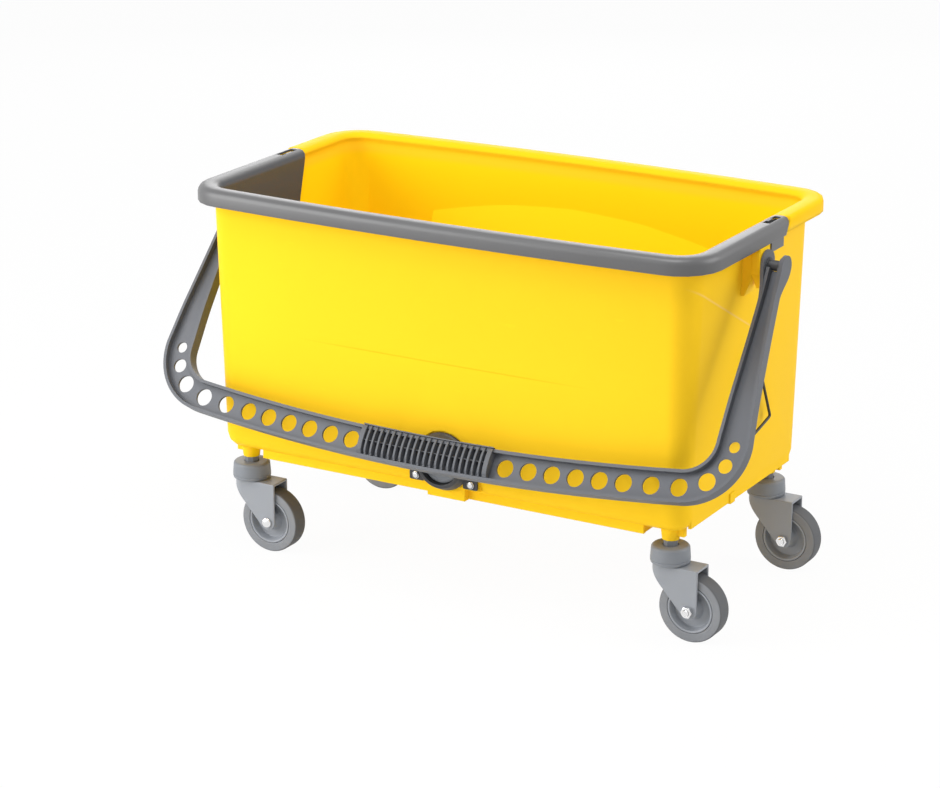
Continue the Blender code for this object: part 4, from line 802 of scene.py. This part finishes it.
def channel_section(centre, outward, half):
    """H section: a web between two flanges, nearer to their front edges along the bar."""
    front, web, back = channel_depths(centre.y)
    behind = web + CHANNEL_WEB
    lip = half - FLANGE_THICK
    shape = [(half, back), (half, front), (lip, front), (lip, web), (-lip, web), (-lip, front),
             (-half, front), (-half, back), (-lip, back), (-lip, behind), (lip, behind), (lip, back)]
    return [Vector((centre.x + outward.x * n, y, centre.y + outward.y * n)) for n, y in shape]


def handle_channel():
    """Channel swept along the whole centreline."""
    half = handle_half()
    line = half + [(-x, z, width) for x, z, width in reversed(half[:-1])]
    rows = []
    for i, (x, z, width) in enumerate(line):
        ahead, behind = line[min(i + 1, len(line) - 1)], line[max(i - 1, 0)]
        along = Vector((ahead[0] - behind[0], ahead[1] - behind[1])).normalized()
        rows.append(channel_section(Vector((x, z)), Vector((-along.y, along.x)), width))
    return loft(rows)


def along_half(distance):
    """Point on the right half of the centreline at a distance from the middle."""
    line = list(reversed(handle_half()))
    for (x0, z0, _), (x1, z1, _) in zip(line, line[1:]):
        length = math.hypot(x1 - x0, z1 - z0)
        if distance <= length:
            share = distance / length
            return x0 + (x1 - x0) * share, z0 + (z1 - z0) * share
        distance -= length
    return line[-1][:2]


def ear_depth(z, radius, rise):
    """Front and back edge of an ear at a height: a round eye with a neck down to its flange."""
    if z >= rise:
        half = math.sqrt(max(radius ** 2 - (z - rise) ** 2, 0.0))
        return -half, half
    share = (rise - z) / (rise + EAR_FOOT)
    front, _, back = channel_depths(-EAR_FOOT)
    return (-radius + (front + GAP + radius) * smooth_share(1.6 * share),
            radius + (back - GAP - radius) * smooth_share(1.3 * share))


def ear_face(ear, z=0.0):
    """Middle of an ear's thickness at a height, out from the object's middle."""
    x, _, half = arm_at(z)
    return x + ear["side"] * (half - FLANGE_THICK / 2 + ear["splay"] * smooth_share(1 + z / EAR_FOOT))


def ear_mesh(sign, ear, bm):
    """Ear that splays out from its flange and ends in a round eye at the pivot."""
    radius, rise = ear["radius"], ear["rise"]
    eye_turn = math.radians(88)
    heights = [-EAR_FOOT + (EAR_FOOT + rise) * i / EAR_STEPS for i in range(EAR_STEPS)]
    heights += [rise + radius * math.sin(eye_turn * i / EAR_STEPS) for i in range(EAR_STEPS + 1)]
    rows = []
    for z in heights:
        x = ear_face(ear, z)
        near, far = x - FLANGE_THICK / 2, x + FLANGE_THICK / 2
        front, back = ear_depth(z, radius, rise)
        corners = ((near, front), (far, front), (far, back), (near, back))
        rows.append([(sign * across, depth, z) for across, depth in corners])
    loft(rows, bm)


def make_handle():
    """Bail handle with its holes and ears, tilted to the front about its pivot."""
    holes, bosses, bores = bmesh.new(), bmesh.new(), bmesh.new()
    inner, outer = bmesh.new(), bmesh.new()
    outer_x = ear_face(OUTER_EAR)
    inner_x = ear_face(INNER_EAR)
    skin = FLANGE_THICK / 2
    turnings = ((bosses, outer_x - skin - EAR_BOSS_LENGTH, outer_x, EAR_BOSS),
                (bores, inner_x - 2 * FLANGE_THICK, inner_x + FLANGE_THICK, PIN_SHOULDER + GAP),
                (bores, inner_x + skin, outer_x - skin, PIN_RADIUS + GAP))
    web_low = CHANNEL_BACK - CHANNEL_DEPTH
    for sign in (-1, 1):
        distance = 0.0
        for spacing, radius in zip(HOLE_SPACING, HOLE_RADII):
            distance += spacing
            x, z = along_half(distance)
            rod_mesh((sign * x, web_low, z), (sign * x, -web_low, z), radius, bm=holes)
        ear_mesh(sign, INNER_EAR, inner)
        ear_mesh(sign, OUTER_EAR, outer)
        for bm, near, far, radius in turnings:
            rod_mesh((sign * near, 0, 0), (sign * far, 0, 0), radius, bm=bm)
    mesh = carved("bail_handle", handle_channel(), ("DIFFERENCE", holes), ("UNION", inner), ("UNION", outer),
                  ("UNION", bosses), ("DIFFERENCE", bores))
    mesh.transform(handle_place())
    add_piece("bail_handle", mesh, HANDLE, "handle", replaced=["handle"], rounding=0.0005)


def make_bracket_bosses():
    """Wedge-shaped bosses that carry the pins from the tub's brackets out to the handle's ears."""
    pivot = JOINTS["handle_swing"]
    half = BRACKET_HALF + GAP
    outline = [(-half, BOSS_TOP_Z), (-half, BOSS_SHOULDER_Z), (BOSS_TIP_Y, BOSS_TIP_Z),
               (half, BOSS_SHOULDER_Z), (half, BOSS_TOP_Z)]
    outline = soft_profile([(y + pivot.y, z) for y, z in outline], 0.0010)
    reach = BOSS_FACE_X - BRACKET_FACE_X + GAP
    for sign, word in SIDES:
        body = prism(outline, reach, Matrix.Translation((sign * (BOSS_FACE_X - reach / 2), 0, 0)) @ EAR_PLANE)
        near, far = (Vector((sign * x, pivot.y, pivot.z)) for x in (BRACKET_FACE_X / 2, BOSS_FACE_X * 2))
        bore = rod_mesh(near, far, PIN_SHOULDER + GAP / 2)
        mesh = carved(word + "_bracket_boss", body, ("DIFFERENCE", bore))
        add_piece(word + "_bracket_boss", mesh, YELLOW, "base", rounding=0.0006)


def make_slot_shade_trays():
    """Near-black trays inside the snap slots of the rim, as painted shade that hides the yellow rim there."""
    start = TUB_Y + SLOT_START_Y
    for sign, word in SIDES:
        low = Vector((sign * SLOT_X - SLOT_WIDTH / 2 + GAP, start + GAP, SLOT_FLOOR_Z))
        high = Vector((sign * SLOT_X + SLOT_WIDTH / 2 - GAP, start + SLOT_LENGTH - GAP, RIM_TOP_Z - GAP))
        wall = Vector((2 * GAP, 2 * GAP, 2 * GAP))
        hollow = box_mesh(low + wall, high - wall + Vector((0, 0, 8 * GAP)))
        mesh = carved(word + "_slot_shade_tray", box_mesh(low, high), ("DIFFERENCE", hollow))
        # painted shade: near-black trays that hide the yellow rim inside the slots
        add_piece(word + "_slot_shade_tray", mesh, PIN, "base", rounding=0.0001)


def make_grip():
    """Ribbed grip in the bar's channel: crowned fins on a back plate, tied by a spine and a cap strip."""
    half = BAR_HALF_WIDTH - FLANGE_THICK - GAP
    edge = CHANNEL_BACK - CHANNEL_DEPTH
    back = edge + WEB_RECESS - GAP
    plate = back - GRIP_PLATE
    middle = (GRIP_OVER_TOP - GRIP_OVER_LOW) / 2
    reach = (GRIP_OVER_TOP + GRIP_OVER_LOW) / 2
    lap = edge - GAP
    crest = [(lap - GRIP_CROWN * math.sqrt(max(1 - n * n, 0.0)), middle + reach * n)
             for n in (1 - 2 * i / 20 for i in range(21))]
    fin = [(back, half), (lap, half)] + crest + [(lap, -half), (back, -half)]
    pitch = (2 * GRIP_HALF_LENGTH - GRIP_END_THICK) / (GRIP_FINS - 1)
    bm = bmesh.new()
    for i in range(GRIP_FINS):
        x = -GRIP_HALF_LENGTH + GRIP_END_THICK / 2 + i * pitch
        thick = GRIP_END_THICK if i in (0, GRIP_FINS - 1) else GRIP_FIN_THICK
        prism(fin, thick, Matrix.Translation((x, 0, bar_z(x))) @ EAR_PLANE, bm=bm)
        if i < GRIP_FINS - 1:
            near, far, z = x + GRIP_FIN_THICK / 2, x + pitch - GRIP_FIN_THICK / 2, bar_z(x + pitch / 2)
            box_mesh((near, plate, z - half), (far, back, z + half), bm=bm)
            rise = z + GRIP_SPINE_RISE
            box_mesh((near, edge - GRIP_CROWN * 0.6, rise), (far, plate, rise + GRIP_SPINE_THICK), bm=bm)
    places = [GRIP_HALF_LENGTH * (i / 20 - 1) for i in range(41)]
    cap = [(lap - GRIP_CAP, GRIP_OVER_TOP), (lap - GRIP_CAP, GRIP_OVER_TOP + GRIP_CAP),
           (lap + 2 * GRIP_CAP, GRIP_OVER_TOP + GRIP_CAP), (lap + 2 * GRIP_CAP, GRIP_OVER_TOP)]
    loft([[(x, y, bar_z(x) + z) for y, z in cap] for x in places], bm)
    bm.transform(handle_place())
    add_piece("ribbed_grip", as_mesh("ribbed_grip", bm), HANDLE, "handle",
              replaced=["handle_grip"], rounding=0.0004)


# Casters

def tyre_mesh():
    """Grey tyre: flat sides, crisp shoulders and a flat tread."""
    upper = [(TYRE_INNER, TYRE_HALF - TYRE_LIP), (TYRE_INNER + TYRE_LIP_WIDTH, TYRE_HALF),
             (TREAD_RADIUS, TYRE_HALF), (WHEEL_RADIUS, TYRE_HALF - TYRE_SHOULDER)]
    profile = upper + [(r, -h) for r, h in reversed(upper)]
    return as_mesh("caster_tyre", turned(soft_profile(profile, 0.0005)))


def hub_mesh():
    """Hub with a raised rim ring, a dished web and a conical boss."""
    dish = TYRE_HALF * HUB_DISH
    upper = [(HUB_BORE, HUB_BOSS_HALF), (HUB_BORE + HUB_BOSS_WALL, HUB_BOSS_HALF),
             (HUB_BORE + HUB_BOSS_FOOT, dish), (HUB_RIM - HUB_RIM_FOOT, dish),
             (HUB_RIM - HUB_RIM_WALL, TYRE_HALF), (HUB_RIM, TYRE_HALF)]
    profile = upper + [(r, -h) for r, h in reversed(upper)]
    return as_mesh("caster_hub", turned(soft_profile(profile, 0.0009)))


def collar_mesh():
    """Domed collar over the swivel bearing, with a fine bead at its foot."""
    low = FORK_TOP_Z + GAP
    wall, groove = COLLAR_WALL, COLLAR_GROOVE
    bead = low + COLLAR_BEAD
    profile = [(COLLAR_BORE, COLLAR_TOP_Z), (COLLAR_RADIUS - 0.9 * wall, COLLAR_TOP_Z),
               (COLLAR_RADIUS - 0.3 * wall, COLLAR_TOP_Z - 0.6 * wall), (COLLAR_RADIUS, bead + groove),
               (COLLAR_RADIUS - groove, bead + 0.5 * groove), (COLLAR_RADIUS - groove, bead - 0.5 * groove),
               (COLLAR_RADIUS, bead - groove), (COLLAR_RADIUS - groove, low + groove),
               (COLLAR_RADIUS - 0.5 * wall, low), (COLLAR_RADIUS - wall, low),
               (COLLAR_RADIUS - wall, COLLAR_TOP_Z - wall), (COLLAR_BORE, COLLAR_TOP_Z - wall)]
    return as_mesh("caster_collar", turned(soft_profile(profile, 0.0006)))


def hairpin(half, tail_x):
    """Plan outline of the fork: two straight sides joined by a half round at the leading end."""
    nose = [(FORK_BACK_X + half * math.cos(a), half * math.sin(a))
            for a in (math.radians(270 - 180 * i / 28) for i in range(29))]
    return [(tail_x, -half)] + nose + [(tail_x, half)]


def fork_mesh(axle_z):
    """Fork shared by the four casters, about the stem's axis."""
    lead_x = FORK_BACK_X - FORK_HALF - GAP
    tail_x = CASTER_TRAIL + FORK_TIP
    low = axle_z - 2 * FORK_TIP
    run = Vector((CASTER_TRAIL - lead_x, axle_z - FORK_LEAD_Z))
    touch = math.atan2(run.y, run.x) - math.asin(FORK_TIP / run.length) - math.pi / 2
    tip = [(CASTER_TRAIL + FORK_TIP * math.cos(a), axle_z + FORK_TIP * math.sin(a))
           for a in (touch * (1 - i / 16) for i in range(17))]
    roof = FORK_TOP_Z + FORK_WALL
    side = [(lead_x, roof), (lead_x, FORK_LEAD_Z)] + tip + [(tail_x, roof)]
    middle = Matrix.Translation((0, 0, (FORK_TOP_Z + low) / 2))
    height = FORK_TOP_Z - low
    shell = prism(hairpin(FORK_HALF, tail_x + FORK_WALL), height, middle)
    inside = prism(hairpin(FORK_HALF - FORK_WALL, tail_x + 3 * FORK_WALL), height,
                   Matrix.Translation((0, 0, -FORK_WALL)) @ middle)
    upright = Matrix.Rotation(math.radians(90), 4, "X")
    near, far = (Vector((CASTER_TRAIL, y, axle_z)) for y in (-2 * FORK_HALF, 2 * FORK_HALF))
    axle = rod_mesh(near, far, AXLE_RADIUS + GAP)
    stem = rod_mesh((0, 0, FORK_TOP_Z - 2 * FORK_WALL), (0, 0, roof), STEM_BORE)
    return carved("caster_fork", shell, ("INTERSECT", prism(side, 4 * FORK_HALF, upright)),
                  ("DIFFERENCE", inside), ("DIFFERENCE", axle), ("DIFFERENCE", stem))


def bolt_mesh():
    """Axle bolt with a domed head."""
    seat = FORK_HALF + GAP
    top = seat + BOLT_HEAD_HEIGHT
    brim = seat + BOLT_BRIM
    dome = [(BOLT_HEAD * math.sin(a), brim + (top - brim) * math.cos(a))
            for a in (math.radians(90 * i / 12) for i in range(13))]
    tip = -(seat + NUT_HEIGHT + BOLT_PAST_NUT)
    profile = dome + [(BOLT_HEAD, seat), (AXLE_RADIUS, seat), (AXLE_RADIUS, tip + BOLT_CHAMFER),
                      (AXLE_RADIUS - BOLT_CHAMFER, tip), (0, tip)]
    return as_mesh("axle_bolt", turned(profile, 48, closed=False))


def nut_mesh():
    """Hexagonal nut with chamfered corners."""
    seat = FORK_HALF + GAP
    corner = NUT_ACROSS_FLATS / math.sqrt(3)
    flats = NUT_ACROSS_FLATS / 2
    turns = [math.radians(60 * i) for i in range(6)]
    hexagon = [(corner * math.cos(a), corner * math.sin(a)) for a in turns]
    body = prism(hexagon, NUT_HEIGHT, Matrix.Translation((0, 0, -seat - NUT_HEIGHT / 2)))
    cone = [(0, -seat + 0.001), (corner * 1.02, -seat + 0.001), (corner * 1.02, -seat - NUT_HEIGHT + 0.0009),
            (flats * 0.94, -seat - NUT_HEIGHT), (0, -seat - NUT_HEIGHT)]
    bore = rod_mesh((0, 0, 0), (0, 0, -seat - 2 * NUT_HEIGHT), AXLE_RADIUS + GAP / 2)
    return carved("axle_nut", body, ("INTERSECT", turned(cone, 48, closed=False)), ("DIFFERENCE", bore))


def make_casters():
    """Finer tyre, hub, collar, fork, bolt and nut on each caster."""
    axle_z = JOINTS["front_left_wheel_spin"].z
    meshes = {"tyre": tyre_mesh(), "hub": hub_mesh(), "swivel_collar": collar_mesh(),
              "fork": fork_mesh(axle_z), "axle_bolt": bolt_mesh(), "axle_nut": nut_mesh()}
    finishes = {"tyre": (TYRE, "tyre_rubber", 0.0), "hub": (CASTER, "caster_plastic", 0.0),
                "swivel_collar": (COLLAR, "caster_plastic", 0.0), "fork": (CASTER, "caster_plastic", 0.0011),
                "axle_bolt": (STEEL, "bright_steel", 0.0), "axle_nut": (STEEL, "bright_steel", 0.0002)}
    for name in CASTERS:
        swivel = Matrix.Translation(JOINTS[name + "_swivel"].xy.to_3d())
        turn = math.radians(90 if name == "front_left" else -90)
        axle = Matrix.Translation(JOINTS[name + "_wheel_spin"]) @ Matrix.Rotation(turn, 4, "X")
        for part, mesh in meshes.items():
            material, slot, rounding = finishes[part]
            body = name + ("_wheel" if part in ("tyre", "hub") else "_caster")
            place = swivel if part in ("swivel_collar", "fork") else axle
            add_piece(f"{name}_caster_{part}", mesh, material, body, place, [f"{name}_{part}"],
                      rounding)


# Drain

def drain_place():
    """Place on the drain's axis, +Z out of the front wall."""
    _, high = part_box("drain_flange")
    pivot = JOINTS["drain_plug_turn"]
    return Matrix.Translation((pivot.x, high.y + GAP, pivot.z)) @ Matrix.Rotation(math.radians(90), 4, "X")


def make_drain_ring():
    """Drain flange: a tapered ring on a plate, with two ears."""
    top = DRAIN_SEAT + DRAIN_RING_HEIGHT
    ring = [(DRAIN_RECESS, top), (DRAIN_RING_FRONT - DRAIN_LIP, top), (DRAIN_RING_FRONT, top - DRAIN_TAPER),
            (DRAIN_FLANGE - DRAIN_TAPER, DRAIN_SEAT + DRAIN_TAPER / 2),
            (DRAIN_FLANGE, DRAIN_SEAT - DRAIN_LIP), (DRAIN_FLANGE, GAP), (DRAIN_BORE, GAP + DRAIN_BACK_CUT),
            (DRAIN_BORE, DRAIN_SEAT), (DRAIN_RECESS, DRAIN_SEAT)]
    bm = turned(soft_profile(ring, 0.0006))
    strip = EAR_STRIP_HEIGHT / 2
    lift = Matrix.Translation((0, -EAR_SCREW_DROP, GAP * 1.5 + EAR_THICK / 2))
    for sign, _ in SIDES:
        root, tip = sign * EAR_STRIP_ROOT, sign * EAR_STRIP_HALF
        ear = soft_profile([(root, -strip), (tip, -strip), (tip, strip), (root, strip)], 0.0016)
        prism(ear, EAR_THICK - GAP / 2, lift, bm=bm)
    add_piece("drain_ring", as_mesh("drain_ring", bm), DRAIN, "base", drain_place(),
              ["drain_flange"])


def make_drain_stopper():
    """Drain plug: a dished head with a grip bar, on a shank in the bore."""
    head = DRAIN_RECESS - GAP
    rest = DRAIN_SEAT + GAP
    face = rest + PLUG_HEAD_HEIGHT
    shank = DRAIN_BORE - GAP
    tip = DRAIN_SEAT - PLUG_SHANK_LENGTH
    shape = [(0, face - PLUG_DISH), (head - PLUG_RIM_INNER, face - PLUG_DISH), (head - PLUG_RIM_FACE, face),
             (head - PLUG_LIP, face), (head, face - PLUG_CHAMFER), (head, rest), (shank, rest),
             (shank, tip + PLUG_CHAMFER), (DRAIN_BORE - PLUG_TIP_INSET, tip), (0, tip)]
    bm = turned(soft_profile(shape, 0.0005, closed=False), closed=False)
    bar = [(-PLUG_BAR_HALF, -PLUG_BAR_WIDTH / 2), (PLUG_BAR_HALF, -PLUG_BAR_WIDTH / 2),
           (PLUG_BAR_HALF, PLUG_BAR_WIDTH / 2), (-PLUG_BAR_HALF, PLUG_BAR_WIDTH / 2)]
    prism(soft_profile(bar, 0.0016), PLUG_BAR_HEIGHT, Matrix.Translation((0, 0, face)), bm=bm)
    add_piece("drain_stopper", as_mesh("drain_stopper", bm), COLLAR, "drain_plug",
              drain_place(), ["drain_plug"], 0.0003)


def make_drain_screws():
    """Two cross-head screws through the drain's ears."""
    pan = [(0, SCREW_CROWN), (SCREW_HEAD * 0.55, SCREW_CROWN - 0.0001),
           (SCREW_HEAD * 0.88, SCREW_CROWN - 0.0006), (SCREW_HEAD, SCREW_SEAT + 0.0004),
           (SCREW_HEAD, SCREW_SEAT), (SCREW_RADIUS, SCREW_SEAT), (SCREW_RADIUS, -SCREW_LENGTH),
           (0, -SCREW_LENGTH)]
    low, high = SCREW_CROWN - CROSS_DEPTH, SCREW_CROWN + 0.001
    cross = bmesh.new()
    for x, y in ((CROSS_HALF_LENGTH, CROSS_HALF_WIDTH), (CROSS_HALF_WIDTH, CROSS_HALF_LENGTH)):
        box_mesh((-x, -y, low), (x, y, high), bm=cross)
    screw = carved("cross_screw", turned(pan, 48, closed=False), ("DIFFERENCE", cross))
    turn = Matrix.Rotation(SCREW_TURN, 4, "Z")
    for sign, word in SIDES:
        place = drain_place() @ Matrix.Translation((sign * EAR_SCREW_X, -EAR_SCREW_DROP, 0)) @ turn
        add_piece(word + "_cross_screw", screw, SCREW, "base", place, [word + "_drain_screw"])


def dress_cad_nodes():
    """Finishes for the CAD nodes whose shape stays."""
    dress_node("tub", YELLOW)
    dress_node("rim_cover", COVER)
    dress_node("wire_link", WIRE)
    dress_node("drain_gasket", SEAL)
    for _, word in SIDES:
        dress_node(word + "_handle_pin", PIN)
    for name in CASTERS:
        dress_node(name + "_stem", STEM)
        dress_node(name + "_swivel_bearing", STEEL)
        dress_node(name + "_axle_sleeve", STEEL)


# Stage, light and camera

def background_rays(tree):
    """Mask of the rays that see the white background: camera, glossy and transmission rays."""
    path = tree.nodes.new("ShaderNodeLightPath")
    return calc(tree, "MAXIMUM", path.outputs["Is Camera Ray"],
                calc(tree, "MAXIMUM", path.outputs["Is Glossy Ray"], path.outputs["Is Transmission Ray"]))


def make_floor():
    """Pale floor that reads white to the camera and keeps a soft shadow."""
    mesh = bpy.data.meshes.new("studio_floor")
    reach = 6.0
    corners = [(-reach, -reach, 0), (reach, -reach, 0), (reach, reach, 0), (-reach, reach, 0)]
    mesh.from_pydata(corners, [], [(0, 1, 2, 3)])
    floor = bpy.data.objects.new("studio_floor", mesh)
    bpy.context.scene.collection.objects.link(floor)
    material, tree, shader = start_finish("pale_floor", roughness=0.9, specular=0.0)
    shader.inputs["Base Color"].default_value = rgba(0.80, 0.80, 0.80)
    glow = add_node(tree, "ShaderNodeEmission", Strength=1.0)
    mix = tree.nodes.new("ShaderNodeMixShader")
    tree.links.new(calc(tree, "MULTIPLY", background_rays(tree), 0.96), mix.inputs[0])
    tree.links.new(shader.outputs[0], mix.inputs[1])
    tree.links.new(glow.outputs[0], mix.inputs[2])
    tree.links.new(mix.outputs[0], tree.nodes["Material Output"].inputs["Surface"])
    mesh.materials.append(material)


def make_world(fill):
    """White surround to the camera, a dimmer fill for light."""
    world = bpy.data.worlds.new("white_studio")
    bpy.context.scene.world = world
    world.use_nodes = True
    tree = world.node_tree
    ground = tree.nodes["Background"]
    ground.inputs["Color"].default_value = rgba(1.0, 1.0, 1.0)
    tree.links.new(calc(tree, "MAXIMUM", background_rays(tree), fill), ground.inputs["Strength"])


def add_softbox(name, place, aim, size, power):
    """Square area lamp pointed at a place."""
    lamp = bpy.data.lights.new(name, "AREA")
    lamp.size = size
    lamp.energy = power
    obj = bpy.data.objects.new(name, lamp)
    obj.location = place
    obj.rotation_euler = (Vector(aim) - Vector(place)).to_track_quat("-Z", "Y").to_euler()
    bpy.context.scene.collection.objects.link(obj)


def make_camera():
    """Camera at the photograph's place."""
    data = bpy.data.cameras.new("photo_camera")
    data.sensor_width = 36.0
    data.lens = LENS_PIXELS * data.sensor_width / IMAGE_WIDTH
    data.shift_x = -0.5 / IMAGE_WIDTH
    data.shift_y = 0.5 / IMAGE_WIDTH
    camera = bpy.data.objects.new("photo_camera", data)
    bpy.context.scene.collection.objects.link(camera)
    middle = Vector((0, TUB_Y, 0))
    turn = (AIM - EYE).to_track_quat("-Z", "Y").to_matrix() @ Matrix.Rotation(CAMERA_ROLL, 3, "Z")
    camera.matrix_world = Matrix.Translation(EYE + middle) @ turn.to_4x4()
    bpy.context.scene.camera = camera


make_camera()
dress_cad_nodes()
make_handle()
make_grip()
make_bracket_bosses()
make_slot_shade_trays()
make_casters()
make_drain_ring()
make_drain_stopper()
make_drain_screws()
make_floor()
make_world(0.44)
add_softbox("front_left_softbox", (-1.30, -1.30, 0.85), (0, 0, 0.25), 1.4, 31.0)
add_softbox("top_softbox", (0.2, -0.7, 2.0), (0, 0, 0.3), 1.2, 24.0)
add_softbox("right_fill_softbox", (2.0, 0.9, 1.3), (0, 0, 0.25), 1.4, 23.5)
add_softbox("back_softbox", (-1.15, 2.1, 1.0), (0, 0, 0.35), 1.4, 12.0)
bpy.context.scene.view_settings.view_transform = "Standard"
